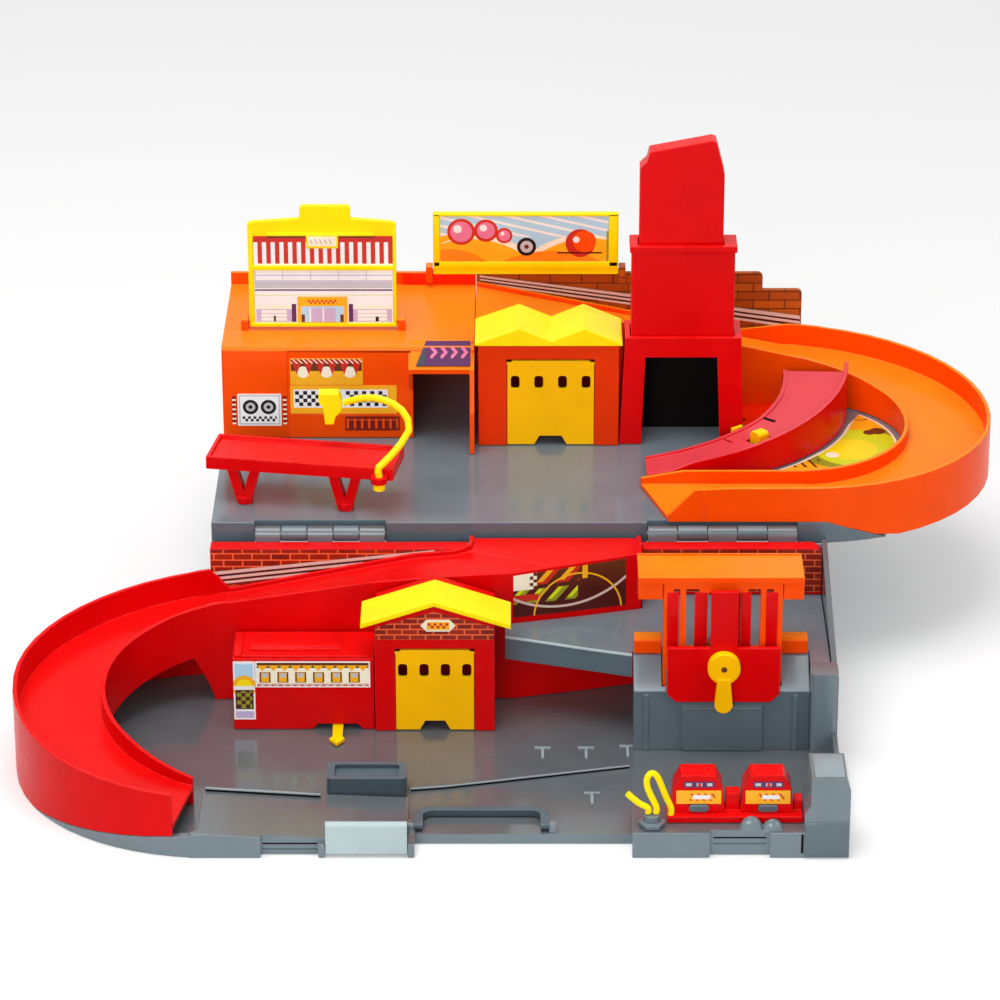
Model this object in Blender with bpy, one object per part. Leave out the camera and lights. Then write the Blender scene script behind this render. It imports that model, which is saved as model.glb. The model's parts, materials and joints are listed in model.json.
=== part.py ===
# A fold-out toy garage: two hinged trays, each with a downhill track loop, small buildings
# and moving play pieces.
# Metres, +Z up. X runs along the hinge line, the lower front half lies at -Y and the raised rear half at +Y.
# The origin lies on the ground under the middle of the hinge line.

from math import atan2, cos, pi, radians, sin, sqrt

import bmesh
import bpy
from mathutils import Matrix, Vector

for old in list(bpy.data.objects):
    bpy.data.objects.remove(old, do_unlink=True)

# General sizes
CLEAR = 0.0003              # gap between pieces that touch
RUN = 0.0004                # running gap of sliding and turning pieces
SKIN = 0.0024               # wall of the moulded shells
OVER = 0.001                # how far a cutter or a joined lump reaches past a face
FACETS = 20
END_STEP = 0.0006           # short step that squares the ends of a rod

# Case
CASE_WIDTH = 0.350
LOOP_DEPTH = 0.1115         # half the depth of a tray, and the loops' reach from their centre along Y
SEAM = 0.0015               # from the hinge axis to the edge of each half
HINGE_Z = 0.086
FRONT_PLATE = 0.003         # floor plate of the front tray
FRONT_LIFT = 0.003          # skirt under the front floor plate
REAR_PLATE = 0.003
REAR_SKIRT = 0.010
REAR_STEP = 0.006           # rear floor above the hinge axis
TRAY_WALL = 0.0028
SIDE_WALL = 0.003
SIDE_WALL_LOW = 0.054       # height of the right side wall where it ends at the gate column

HALF = CASE_WIDTH / 2
FRONT_EDGE = -(SEAM + 2 * LOOP_DEPTH)
REAR_EDGE = -FRONT_EDGE
FRONT_CY = -(SEAM + LOOP_DEPTH)
REAR_CY = -FRONT_CY
FRONT_FLOOR = FRONT_LIFT + FRONT_PLATE
REAR_FLOOR = HINGE_Z + REAR_STEP
REAR_LOW = REAR_FLOOR - REAR_PLATE - REAR_SKIRT
ON_FRONT = FRONT_FLOOR + CLEAR
ON_REAR = REAR_FLOOR + CLEAR

# Hinge
KNUCKLE_R = 0.0045
PIN_R = 0.0016
KNUCKLES = 5
HINGE_SPANS = ((-0.150, -0.076), (0.073, 0.158))

# Track loops
LOOP_REACH = 0.1125         # the loops' reach from their centre along X
LOOP_INSET = 0.010          # loop centre inside the side of the tray
LANE_INNER = 0.062          # inner radius of a lane
TRACK_SKIN = 0.0024
TAIL_HEIGHT = 0.013
TAIL_TURN = {-1: 0.95, 1: 0.32}   # angle over which the tail under the left and the right loop tapers out
LOOP_STEPS = 22
LOOP_CX = HALF - LOOP_INSET

# Brick walls at the hinge
BRICK_TOP = 0.083
BRICK_DEPTH = 0.0097
BACK_WALL_TOP = 0.080
MOUTH_LEFT = -0.0290
MOUTH_RIGHT = 0.0690
BRICK_BACK = -(SEAM + TRAY_WALL + CLEAR)
BRICK_FRONT = BRICK_BACK - BRICK_DEPTH
LANE_BACK = BRICK_FRONT - CLEAR
LANE_FRONT = FRONT_CY + LANE_INNER

# Colours: red, green, blue, roughness, metallic
RED = (0.62, 0.008, 0.010, 0.33, 0.0)
ORANGE = (0.90, 0.14, 0.005, 0.33, 0.0)
YELLOW = (0.95, 0.62, 0.010, 0.35, 0.0)
GREY = (0.10, 0.125, 0.145, 0.42, 0.0)
BROWN = (0.45, 0.10, 0.010, 0.45, 0.0)
STEEL = (0.56, 0.57, 0.58, 0.30, 1.0)


def v2(x, y):
    return Vector((x, y))


def spot(plane, u, v, w):
    """A point from its two coordinates in a plane and its distance w along the plane's normal."""
    return {"XY": (u, v, w), "XZ": (u, w, v), "YZ": (w, u, v)}[plane]


def add_prism(bm, outline, plane, low, high):
    bottom = [bm.verts.new(spot(plane, u, v, low)) for u, v in outline]
    top = [bm.verts.new(spot(plane, u, v, high)) for u, v in outline]
    bm.faces.new(bottom)
    bm.faces.new(top)
    for i in range(len(outline)):
        j = (i + 1) % len(outline)
        bm.faces.new((bottom[i], bottom[j], top[j], top[i]))


def add_box(bm, low, high):
    outline = [(low[0], low[1]), (high[0], low[1]), (high[0], high[1]), (low[0], high[1])]
    add_prism(bm, outline, "XY", low[2], high[2])


def add_plate(bm, outline, holes, plane, low, high):
    """A plate with holes: the outline is filled with triangles and pushed through its thickness."""
    edges = []
    for loop in [outline] + holes:
        ring = [bm.verts.new(spot(plane, u, v, low)) for u, v in loop]
        edges += [bm.edges.new((ring[i - 1], ring[i])) for i in range(len(ring))]
    filled = bmesh.ops.triangle_fill(bm, edges=edges, use_beauty=True, use_dissolve=False)
    faces = [item for item in filled["geom"] if isinstance(item, bmesh.types.BMFace)]
    pushed = bmesh.ops.extrude_face_region(bm, geom=faces, use_keep_orig=True)
    moved = [item for item in pushed["geom"] if isinstance(item, bmesh.types.BMVert)]
    push = Vector(spot(plane, 0, 0, high)) - Vector(spot(plane, 0, 0, low))
    bmesh.ops.translate(bm, verts=moved, vec=push)


def circle(u, v, radius, steps=FACETS, start=0.0):
    return [(u + radius * cos(start + 2 * pi * k / steps), v + radius * sin(start + 2 * pi * k / steps))
            for k in range(steps)]


def rounded(u0, v0, u1, v1, radius, steps=4):
    """A rectangle with round corners."""
    points = []
    corners = ((u1 - radius, v1 - radius, 0), (u0 + radius, v1 - radius, 1),
               (u0 + radius, v0 + radius, 2), (u1 - radius, v0 + radius, 3))
    for cu, cv, quarter in corners:
        for k in range(steps + 1):
            angle = (quarter + k / steps) * pi / 2
            points.append((cu + radius * cos(angle), cv + radius * sin(angle)))
    return points


def add_rings(bm, rings):
    """A closed body through a row of rings with equal numbers of points."""
    rows = [[bm.verts.new(point) for point in ring] for ring in rings]
    for first, second in zip(rows, rows[1:]):
        for i in range(len(first)):
            j = (i + 1) % len(first)
            bm.faces.new((first[i], first[j], second[j], second[i]))
    bm.faces.new(rows[0])
    bm.faces.new(rows[-1])


def add_tube(bm, points, radius, sides=8):
    """A solid rod along a row of points."""
    rings = []
    normal = None
    for k, point in enumerate(points):
        ahead = points[min(k + 1, len(points) - 1)] - points[max(k - 1, 0)]
        ahead.normalize()
        if normal is None:
            normal = ahead.orthogonal().normalized()
        normal = (normal - ahead * normal.dot(ahead)).normalized()
        side = ahead.cross(normal)
        turns = [2 * pi * i / sides for i in range(sides)]
        rings.append([point + normal * radius * cos(turn) + side * radius * sin(turn) for turn in turns])
    add_rings(bm, rings)


def smooth_route(points, steps):
    """Points on a smooth curve through the given ones."""
    route = []
    last = len(points) - 1
    for k in range(last):
        p0, p1, p2, p3 = (points[max(k - 1, 0)], points[k], points[k + 1], points[min(k + 2, last)])
        for step in range(steps):
            t = step / steps
            route.append(0.5 * (2 * p1 + (p2 - p0) * t + (2 * p0 - 5 * p1 + 4 * p2 - p3) * t ** 2
                                + (3 * p1 - p0 - 3 * p2 + p3) * t ** 3))
    route.append(points[last])
    route.insert(1, points[0] + (points[1] - points[0]).normalized() * END_STEP)
    route.insert(-1, points[last] + (points[last - 1] - points[last]).normalized() * END_STEP)
    return route


def material(name, values):
    found = bpy.data.materials.get(name)
    if found:
        return found
    made = bpy.data.materials.new(name)
    made.use_nodes = True
    shader = made.node_tree.nodes["Principled BSDF"]
    shader.inputs["Base Color"].default_value = (*values[:3], 1.0)
    shader.inputs["Roughness"].default_value = values[3]
    shader.inputs["Metallic"].default_value = values[4]
    made.diffuse_color = (*values[:3], 1.0)
    return made


def place(name, bm, origin=(0, 0, 0)):
    """Turn a bmesh into an object whose own origin lies at the given point."""
    bmesh.ops.recalc_face_normals(bm, faces=bm.faces)
    mesh = bpy.data.meshes.new(name)
    bm.to_mesh(mesh)
    bm.free()
    mesh.transform(Matrix.Translation(-Vector(origin)))
    item = bpy.data.objects.new(name, mesh)
    item.location = origin
    bpy.context.scene.collection.objects.link(item)
    return item


def operate(item, operation, bm, label):
    """Join or cut an object with the closed bodies of a bmesh, kept as a hidden wire guide."""
    guide = place(item.name + "." + label, bm)
    guide.hide_render = True
    guide.display_type = "WIRE"
    step = item.modifiers.new(label, "BOOLEAN")
    step.operation = operation
    step.object = guide
    step.solver = "EXACT"
    step.use_self = True


def make(name, bm, finish, add=None, cut=None, origin=(0, 0, 0), smooth=False):
    item = place(name, bm, origin)
    item.data.materials.append(material(name + "_finish", finish))
    if smooth:
        item.data.shade_smooth()
        item.data.set_sharp_from_angle(angle=radians(35))
    if add:
        operate(item, "UNION", add, "joined")
    if cut:
        operate(item, "DIFFERENCE", cut, "cut")
    return item


def loop_point(side, centre_y, turn, inset, back, front):
    """A point of a loop: turn runs from 0 at the back to pi at the front, inset from the outer face."""
    reach = LOOP_REACH - inset
    depth = (back if turn < pi / 2 else front) - inset
    return v2(side * (LOOP_CX + reach * sin(turn)), centre_y + depth * cos(turn))


def turn_at_side(extra=0.0):
    """The turn at which a loop's outer face crosses the side of the tray, or lies extra outside it."""
    return (LOOP_INSET + extra) / LOOP_REACH


def mix(a, b, share):
    return a + (b - a) * min(max(share, 0.0), 1.0)


def lane_ring(outer, inner, floor, rim_out, rim_in, foot_out, foot_in):
    """The cross section of a lane: outer wall, floor and inner rim, open below."""
    across = (inner - outer).normalized()
    a = outer + across * TRACK_SKIN
    b = inner - across * TRACK_SKIN
    under = floor - TRACK_SKIN
    shape = ((outer, foot_out), (outer, rim_out), (a, rim_out), (a, floor), (b, floor), (b, rim_in),
             (inner, rim_in),
             (inner, foot_in), (b, foot_in), (b, under), (a, under), (a, foot_out))
    return [(point.x, point.y, z) for point, z in shape]


# The two trays share their outline round a loop
FRONT_BACK_REACH = LANE_BACK - FRONT_CY
REAR_BACK_GAP = 0.0033      # parapet and its gap behind the rear lane
REAR_BACK_REACH = REAR_EDGE - REAR_BACK_GAP - REAR_CY
PLATE_INSET = TRACK_SKIN + CLEAR


def tray_arc(side, centre_y, back, inset, side_x, steps=18):
    """The tray's round end inside the loop's outer wall, from back to front."""
    first = (side_x - LOOP_CX) / (LOOP_REACH - inset)
    turns = [first + (pi - 2 * first) * k / steps for k in range(steps + 1)]
    return [tuple(loop_point(side, centre_y, turn, inset, back, LOOP_DEPTH)) for turn in turns]


def tail_top(side, turn, low, high):
    """Top of the tail under a loop's front end."""
    start = pi - turn_at_side() - TAIL_TURN[side]
    return mix(low, high, (turn - start) / TAIL_TURN[side])


def tail_rings(side, centre_y, back, low, high, steps=10):
    rings = []
    start = pi - turn_at_side() - TAIL_TURN[side]
    stop = pi - turn_at_side(-OVER)
    for k in range(steps + 1):
        turn = mix(start, stop, k / steps)
        outer = loop_point(side, centre_y, turn, 0, back, LOOP_DEPTH)
        inner = loop_point(side, centre_y, turn, PLATE_INSET + OVER, back, LOOP_DEPTH)
        top = max(tail_top(side, turn, low, high), low + FRONT_PLATE / 10)
        rings.append([(outer.x, outer.y, low), (outer.x, outer.y, top), (inner.x, inner.y, top),
                      (inner.x, inner.y, low)])
    return rings


# Screws hold the buildings down from below
SCREW_HEAD_R = 0.0030
SCREW_HEAD = 0.0016
SCREW_R = 0.0014
SCREW_LENGTH = 0.011
BOSS_R = 0.0036
BOSS_HEIGHT = 0.010


def screw(name, x, y, plate_low):
    bm = bmesh.new()
    add_prism(bm, circle(x, y, SCREW_R, 10), "XY", plate_low - CLEAR, plate_low - CLEAR + SCREW_LENGTH)
    head = bmesh.new()
    add_prism(head, circle(x, y, SCREW_HEAD_R, 14), "XY", plate_low - CLEAR - SCREW_HEAD, plate_low)
    slot = bmesh.new()
    low = plate_low - CLEAR - SCREW_HEAD
    reach = SCREW_HEAD_R * 0.7
    add_box(slot, (x - reach, y - SCREW_R / 3, low - OVER), (x + reach, y + SCREW_R / 3,
                                                             low + SCREW_HEAD / 2))
    make(name, bm, STEEL, add=head, cut=slot)


# Front tray
LATCH_X = (-0.103, -0.059)
RECESS_X = (-0.059, 0.060)
RECESS_Y = -0.209
STEP_X = -0.137
STEP_Y = -0.2205
NOTCH_X = (0.101, 0.133)
NOTCH_Y = -0.221
RIB_HALF = 0.012
ROAD_START = -0.1705
ROAD_BACK = -0.176
ROAD_HIGH = 0.0145
ROAD_LOW = 0.0100
ROAD_END_X = -0.0595
PLINTH_X = 0.060
PLINTH_BACK = -0.192
PLINTH_TOP = 0.015
POST_X = 0.151
POST_BACK = -0.194
POST_TOP = 0.047
COLUMN_X = 0.160
COLUMN_Y = (-0.120, -0.104)
COLUMN_TOP = 0.056
KERB = 0.002
KERB_ROUTE = ((-0.040, -0.1570), (-0.010, -0.1500), (0.022, -0.1423), (0.061, -0.1330))
KERB_START_Y = -0.160
LOW_WALL = (0.020, 0.013)   # heights of the low side wall at the column and at the post
POST_SHOULDER = (0.026, 0.031)
POST_INSET = 0.003
POST_BEVEL = 0.040
ROCKS = ((0.1230, -0.2188, 0.0065, 0.0080), (0.1345, -0.2190, 0.0060, 0.0065))   # x, y, half width, height
ROCK_DEPTH = 0.0036
CHEEK = 0.0035              # cheeks that hold the carry handle and the latch
CHEEK_TOP = 0.008
LEVER_PIVOT = (-0.101, -0.080)
LEVER_PEG_R = 0.0016
LEVER_PEG_TOP = 0.0096
HANDLE_X = (-0.056, 0.016)
HANDLE_PIVOT = (-0.205, 0.0086)
HANDLE_R = 0.0020
HANDLE_REACH = 0.019
HANDLE_WIDTH = 0.0045
HANDLE_CORNER = 0.010
PEG_ROOM = 0.0034           # depth of the holes for the pegs
PEG_R = 0.0013
LATCH_PIVOT = (-0.2230, 0.0030)
LATCH_R = 0.0015
LATCH_TOP = 0.021

# Places of the screws under each tray
FRONT_SCREWS = {"screw_front_garage": (-0.048, -0.060), "screw_front_shop": (-0.135, -0.060),
                "screw_front_lift": (0.0690, -0.100), "screw_front_platform": (0.150, -0.035)}
REAR_SCREWS = {"screw_rear_deck": (-0.150, 0.190), "screw_rear_garage": (0.050, 0.154),
               "screw_rear_tower": (0.0665, 0.1335), "screw_rear_ramp": (0.168, 0.128)}


def hinge_spans(front):
    """Where one half's knuckles lie along X: the front half has the odd ones, the rear half the rest."""
    spans = []
    for low, high in HINGE_SPANS:
        length = (high - low) / KNUCKLES
        for k in range(KNUCKLES):
            if (k % 2 == 0) == front:
                spans.append((low + k * length + CLEAR / 2, low + (k + 1) * length - CLEAR / 2))
    return spans


def add_knuckles(bm, front):
    side = -1 if front else 1
    for low, high in hinge_spans(front):
        add_prism(bm, circle(0, HINGE_Z, KNUCKLE_R, 16, pi / 16), "YZ", low, high)
        web = [(side * KNUCKLE_R * 0.97, HINGE_Z + KNUCKLE_R * 0.2), (0, HINGE_Z - KNUCKLE_R * 0.9)]
        if front:
            web += [(-SEAM - OVER, BACK_WALL_TOP - 0.006), (-SEAM - TRAY_WALL + OVER / 2,
                                                            BACK_WALL_TOP - 0.006)]
        else:
            web += [(KNUCKLE_R + 2 * OVER, REAR_LOW + OVER), (KNUCKLE_R + 2 * OVER, REAR_FLOOR - OVER)]
        add_prism(bm, web, "YZ", low + CLEAR, high - CLEAR)


def add_knuckle_cuts(bm, front):
    """Bores for the pins, and room for the other half's knuckles."""
    for low, high in HINGE_SPANS:
        add_prism(bm, circle(0, HINGE_Z, PIN_R + CLEAR, 14), "YZ", low - OVER, high + OVER)


def add_dome(bm, x, y, z, reach_x, reach_y, height):
    rings = []
    for share in (0.0, 0.45, 0.75, 0.93, 1.0):
        width = sqrt(1 - min(share, 0.985) ** 2)
        rings.append([(x + reach_x * width * cos(2 * pi * i / 10),
                       y + reach_y * width * sin(2 * pi * i / 10),
                       z + height * share) for i in range(10)])
    add_rings(bm, rings)


def add_band(bm, route, width, low, high):
    """An upright band of even width along a row of points in the XY plane."""
    left, right = [], []
    for k, point in enumerate(route):
        ahead = (route[min(k + 1, len(route) - 1)] - route[max(k - 1, 0)]).normalized()
        side = Vector((-ahead.y, ahead.x)) * width / 2
        left.append(tuple(point + side))
        right.append(tuple(point - side))
    add_prism(bm, left + right[::-1], "XY", low, high)


def front_tray():
    bm = bmesh.new()
    latch_edge = LATCH_PIVOT[0] + LATCH_R + CLEAR
    outline = [(HALF, -SEAM), (-HALF, -SEAM)]
    outline += tray_arc(-1, FRONT_CY, FRONT_BACK_REACH, PLATE_INSET, HALF)
    outline += [(-HALF, FRONT_EDGE), (STEP_X, FRONT_EDGE), (STEP_X, STEP_Y), (LATCH_X[0], STEP_Y),
                (LATCH_X[0], latch_edge), (LATCH_X[1], latch_edge), (RECESS_X[0], RECESS_Y),
                (RECESS_X[1], RECESS_Y), (RECESS_X[1], FRONT_EDGE), (NOTCH_X[0], FRONT_EDGE),
                (NOTCH_X[0], NOTCH_Y),
                (NOTCH_X[1], NOTCH_Y), (NOTCH_X[1], FRONT_EDGE), (HALF, FRONT_EDGE)]
    add_prism(bm, outline, "XY", 0, FRONT_FLOOR)

    add = bmesh.new()
    base = FRONT_FLOOR - OVER
    add_box(add, (-HALF, -SEAM - TRAY_WALL, base), (HALF, -SEAM, BACK_WALL_TOP))
    side = [(-SEAM, base), (-SEAM, BRICK_TOP), (COLUMN_Y[1], SIDE_WALL_LOW),
            (COLUMN_Y[0] + OVER, SIDE_WALL_LOW),
            (COLUMN_Y[0] + OVER, base)]
    add_prism(add, side, "YZ", HALF - SIDE_WALL, HALF)
    low_wall = [(COLUMN_Y[0], base), (COLUMN_Y[0], LOW_WALL[0]), (POST_BACK - OVER, LOW_WALL[1]),
                (POST_BACK - OVER, base)]
    add_prism(add, low_wall, "YZ", HALF - SIDE_WALL, HALF)
    column = rounded(COLUMN_X, COLUMN_Y[0], HALF, COLUMN_Y[1], 0.003)
    add_prism(add, column, "XY", base, COLUMN_TOP)
    post = [(POST_X, base), (POST_X, POST_SHOULDER[0]), (POST_X + POST_INSET, POST_SHOULDER[1]),
            (POST_X + POST_INSET, POST_TOP), (HALF - 0.002, POST_TOP), (HALF, POST_BEVEL), (HALF, base)]
    add_prism(add, post, "XZ", FRONT_EDGE, POST_BACK)
    add_box(add, (PLINTH_X, NOTCH_Y, base), (POST_X + OVER, PLINTH_BACK, PLINTH_TOP))
    for low, high in ((PLINTH_X, NOTCH_X[0]), (NOTCH_X[1], POST_X + OVER)):
        add_box(add, (low, FRONT_EDGE, base), (high, NOTCH_Y + OVER, PLINTH_TOP))
    road = [(ROAD_START, base), (ROAD_START, ROAD_HIGH), (LATCH_X[0] - 2 * OVER, ROAD_LOW),
            (LATCH_X[0] - 2 * OVER, base)]
    add_prism(add, road, "XZ", STEP_Y, ROAD_BACK)
    lip = mix(ROAD_HIGH, ROAD_LOW, (STEP_X - ROAD_START) / (LATCH_X[0] - ROAD_START))
    corner = [(-HALF, base), (-HALF, TAIL_HEIGHT), (ROAD_START, ROAD_HIGH), (STEP_X, lip), (STEP_X, base)]
    add_prism(add, corner, "XZ", FRONT_EDGE, STEP_Y + OVER)
    apron = [(LATCH_X[0] - 3 * OVER, base), (LATCH_X[0] - 3 * OVER, ROAD_LOW),
             (ROAD_END_X, FRONT_FLOOR + 0.002),
             (ROAD_END_X, base)]
    add_prism(add, apron, "XZ", latch_edge, BOX_FRONT - OVER)
    kerb = [v2(BOX_X[1] + OVER, KERB_START_Y)] + [v2(*corner) for corner in KERB_ROUTE]
    add_band(add, kerb, KERB, base, FRONT_FLOOR + KERB)
    add_rings(add, tail_rings(-1, FRONT_CY, FRONT_BACK_REACH, 0, TAIL_HEIGHT))
    add_knuckles(add, True)
    pivot_y, pivot_z = HANDLE_PIVOT
    for inner, outer in ((HANDLE_X[0] - CLEAR, HANDLE_X[0] - CHEEK),
                         (HANDLE_X[1] + CLEAR, HANDLE_X[1] + CHEEK)):
        low, high = sorted((inner, outer))
        add_prism(add, rounded(pivot_y - 0.003, base, pivot_y + 0.003, pivot_z + 0.003, 0.0015), "YZ",
                  low, high)
        inward = 0.003 if inner > outer else -0.003
        low, high = sorted((inner - OVER * (1 if inner > outer else -1), inner + inward))
        add_prism(add, circle(pivot_y, pivot_z, PEG_R, 12), "YZ", low, high)
    latch_y, latch_z = LATCH_PIVOT
    for edge, away in ((LATCH_X[0], -1), (LATCH_X[1], 1)):
        low, high = sorted((edge, edge + away * CHEEK))
        stop = RECESS_Y - 0.003 if away > 0 else STEP_Y + OVER
        add_box(add, (low, FRONT_EDGE, 0), (high, stop, CHEEK_TOP))
        low, high = sorted((edge + away * OVER, edge - away * 0.003))
        add_prism(add, circle(latch_y, latch_z, LATCH_R * 0.5, 10), "YZ", low, high)
    add_box(add, (LATCH_X[1], RECESS_Y - 0.004, 0), (LATCH_X[1] + CHEEK, RECESS_Y + OVER, CHEEK_TOP))
    add_prism(add, circle(*LEVER_PIVOT, LEVER_PEG_R, 12), "XY", base, LEVER_PEG_TOP)
    for x, y, half, height in ROCKS:
        add_dome(add, x, y, PLINTH_TOP - OVER, half, ROCK_DEPTH, height)

    cut = bmesh.new()
    add_knuckle_cuts(cut, True)
    inset = TRAY_WALL
    left = [(-RIB_HALF, -SEAM - inset), (-HALF + inset, -SEAM - inset), (-HALF + inset, RECESS_Y + inset),
            (-RIB_HALF, RECESS_Y + inset)]
    right = [(RIB_HALF, -SEAM - inset), (RIB_HALF, RECESS_Y + inset), (HALF - inset, RECESS_Y + inset),
             (HALF - inset, -SEAM - inset)]
    for pocket in (left, right):
        add_prism(cut, pocket, "XY", -OVER, FRONT_LIFT)
    for x, y in FRONT_SCREWS.values():
        add_prism(cut, circle(x, y, SCREW_R + CLEAR, 12), "XY", -OVER, FRONT_FLOOR + OVER)
    make("front_tray", bm, GREY, add, cut)


# Service box on the front floor
BOX_X = (-0.104, -0.061)
BOX_FRONT = -0.170
BOX_BACK = -0.150
BOX_TOP = 0.0184
BOX_SINK = 0.0025           # depth of the recess in its top


def service_box():
    bm = bmesh.new()
    add_prism(bm, rounded(BOX_X[0], BOX_FRONT, BOX_X[1], BOX_BACK, 0.003), "XY", ON_FRONT, BOX_TOP)
    cut = bmesh.new()
    add_prism(cut, rounded(BOX_X[0] + 0.004, BOX_FRONT + 0.003, BOX_X[1] - 0.004, BOX_BACK - 0.003,
                           0.002), "XY",
              BOX_TOP - BOX_SINK, BOX_TOP + OVER)
    add_box(cut, (BOX_X[0] + SKIN, BOX_FRONT + SKIN, ON_FRONT - OVER),
            (BOX_X[1] - SKIN, BOX_BACK - SKIN, BOX_TOP - BOX_SINK - SKIN))
    make("service_box", bm, GREY, cut=cut)


# Front track: the mouth at the hinge, the ramp behind the shops and the left loop
MOUTH_FLOOR = 0.084
RAMP_HIGH = 0.078
RAMP_LOW = 0.057
LOOP_LOW = 0.0175
MOUTH_TURN = -0.031
RAMP_TURN = ((0.033, -0.041), (-0.003, -0.050))
RAMP_STRAIGHT = -0.040
FRONT_RIM = ((0.00, 0.060), (0.085, 0.071), (0.55, 0.065), (1.57, 0.052), (2.35, 0.041), (3.04, 0.036))
FRONT_RIM_IN = ((0.00, 0.067), (0.80, 0.057), (1.57, 0.048), (2.35, 0.036), (3.04, 0.0205))
ARCH_DROP = 0.020
ARCH_TURNS = (0.115, 0.235)
TRACK_END = 0.0090          # from the side of the tray to the end of the track


def along(table, value):
    for (x0, y0), (x1, y1) in zip(table, table[1:]):
        if value <= x1:
            return mix(y0, y1, (value - x0) / (x1 - x0))
    return table[-1][1]


def lane_inner(side, centre_y, turn):
    return v2(side * (LOOP_CX + LANE_INNER * sin(turn)), centre_y + LANE_INNER * cos(turn))


def loop_turns(extra):
    """Turns of a loop's stations, with a close pair where its outer wall leaves the tray's side."""
    start = [0.0, 0.05, turn_at_side(0.0006), turn_at_side(0.0014)]
    last = pi - turn_at_side(extra)
    steps = [mix(0.16, last, k / LOOP_STEPS) for k in range(LOOP_STEPS + 1)]
    return start, steps


def front_track():
    wall_foot = BACK_WALL_TOP + CLEAR
    left = MOUTH_LEFT + 0.0010
    seam = -SEAM - CLEAR
    behind = BRICK_BACK
    rings = [lane_ring(v2(left, seam), v2(MOUTH_RIGHT, seam), MOUTH_FLOOR, MOUTH_FLOOR + 0.0016,
                       MOUTH_FLOOR + 0.0016,
                       wall_foot, wall_foot),
             lane_ring(v2(left, behind), v2(MOUTH_RIGHT, behind), MOUTH_FLOOR, MOUTH_FLOOR + 0.0018,
                       MOUTH_FLOOR + 0.0018, wall_foot, wall_foot),
             lane_ring(v2(left, behind - CLEAR), v2(MOUTH_RIGHT, behind - 0.0009), MOUTH_FLOOR,
                       MOUTH_FLOOR + 0.0018,
                       MOUTH_FLOOR + 0.0018, ON_FRONT, ON_FRONT),
             lane_ring(v2(left, -0.007), v2(MOUTH_RIGHT, -0.016), MOUTH_FLOOR - 0.0006,
                       MOUTH_FLOOR + 0.0024,
                       MOUTH_FLOOR + 0.0040, ON_FRONT, ON_FRONT)]
    bends = ((v2(MOUTH_LEFT, LANE_BACK), v2(MOUTH_RIGHT, MOUTH_TURN)),
             (v2(-0.032, LANE_BACK), v2(*RAMP_TURN[0])),
             (v2(-0.038, LANE_BACK), v2(*RAMP_TURN[1])), (v2(-0.060, LANE_BACK),
                                                          v2(RAMP_STRAIGHT, LANE_FRONT)))
    for k, (outer, inner) in enumerate(bends):
        floor = mix(MOUTH_FLOOR - 0.001, RAMP_HIGH, k / (len(bends) - 1))
        rings.append(lane_ring(outer, inner, floor, floor + 0.003, floor + 0.005, ON_FRONT, ON_FRONT))
    for k in range(1, 5):
        x = mix(RAMP_STRAIGHT - 0.020, -LOOP_CX + 0.004, k / 4)
        floor = mix(RAMP_HIGH, RAMP_LOW, k / 4)
        rings.append(lane_ring(v2(x, LANE_BACK), v2(x, LANE_FRONT), floor, floor + 0.003,
                               floor + mix(0.005, 0.010, k / 4), ON_FRONT, ON_FRONT))
    start, steps = loop_turns(TRACK_END)
    stop = steps[-1]
    for turn in start + steps:
        outer = loop_point(-1, FRONT_CY, turn, 0, FRONT_BACK_REACH, LOOP_DEPTH)
        floor = mix(RAMP_LOW, LOOP_LOW, turn / stop)
        raised = tail_top(-1, turn, 0, TAIL_HEIGHT)
        foot_out = ON_FRONT if turn in start[:3] else raised + (CLEAR if raised > 0 else 0)
        arch = max(floor - ARCH_DROP, ON_FRONT)
        foot_in = mix(ON_FRONT, arch, (turn - ARCH_TURNS[0]) / (ARCH_TURNS[1] - ARCH_TURNS[0]))
        rings.append(lane_ring(outer, lane_inner(-1, FRONT_CY, turn), floor, along(FRONT_RIM, turn),
                               along(FRONT_RIM_IN, turn), foot_out, foot_in))
    bm = bmesh.new()
    add_rings(bm, rings)
    make("front_track", bm, RED, smooth=True)


# Walls with a brick print
def brick_walls():
    left = bmesh.new()
    add_box(left, (-HALF, BRICK_FRONT, ON_FRONT), (MOUTH_LEFT - CLEAR, BRICK_BACK, BRICK_TOP))
    hollow = bmesh.new()
    add_box(hollow, (-HALF + SKIN, BRICK_FRONT + SKIN, ON_FRONT - OVER),
            (MOUTH_LEFT - CLEAR - SKIN, BRICK_BACK - SKIN, BRICK_TOP - SKIN))
    make("brick_wall_left", left, RED, cut=hollow)

    right = bmesh.new()
    end = HALF - SIDE_WALL - CLEAR
    corner = 0.006
    low = PLATFORM_TOP + CLEAR
    start = MOUTH_RIGHT + 2 * CLEAR
    outline = [(start, low), (end, low)]
    for k in range(5):
        turn = k * pi / 8
        outline.append((end - corner + corner * cos(turn), BRICK_TOP - corner + corner * sin(turn)))
    outline.append((start, BRICK_TOP))
    add_prism(right, outline, "XZ", BRICK_FRONT, BRICK_BACK)
    hollow = bmesh.new()
    add_box(hollow, (start + SKIN, BRICK_FRONT + SKIN, low - OVER),
            (end - SKIN * 2, BRICK_BACK - SKIN, BRICK_TOP - SKIN * 2))
    make("brick_wall_right", right, RED, cut=hollow)


# Upper platform and the lift shaft under it
PLATFORM_TOP = 0.054
PLATFORM_PLATE = 0.0025
PLATFORM_SKIRT = 0.014
PLATFORM_LEFT = -0.008
PLATFORM_NOSE = -0.068
PLATFORM_GAP = 0.0005
POST_R = 0.004
PLATFORM_POSTS = ((0.150, -0.035), (0.085, -0.040), (0.150, -0.075))
SHAFT_X = (0.063, 0.160)
SHAFT_Y = (-0.112, -0.086)
SHAFT_WALL = 0.003
FRAME_X = (0.079, 0.144)


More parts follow.
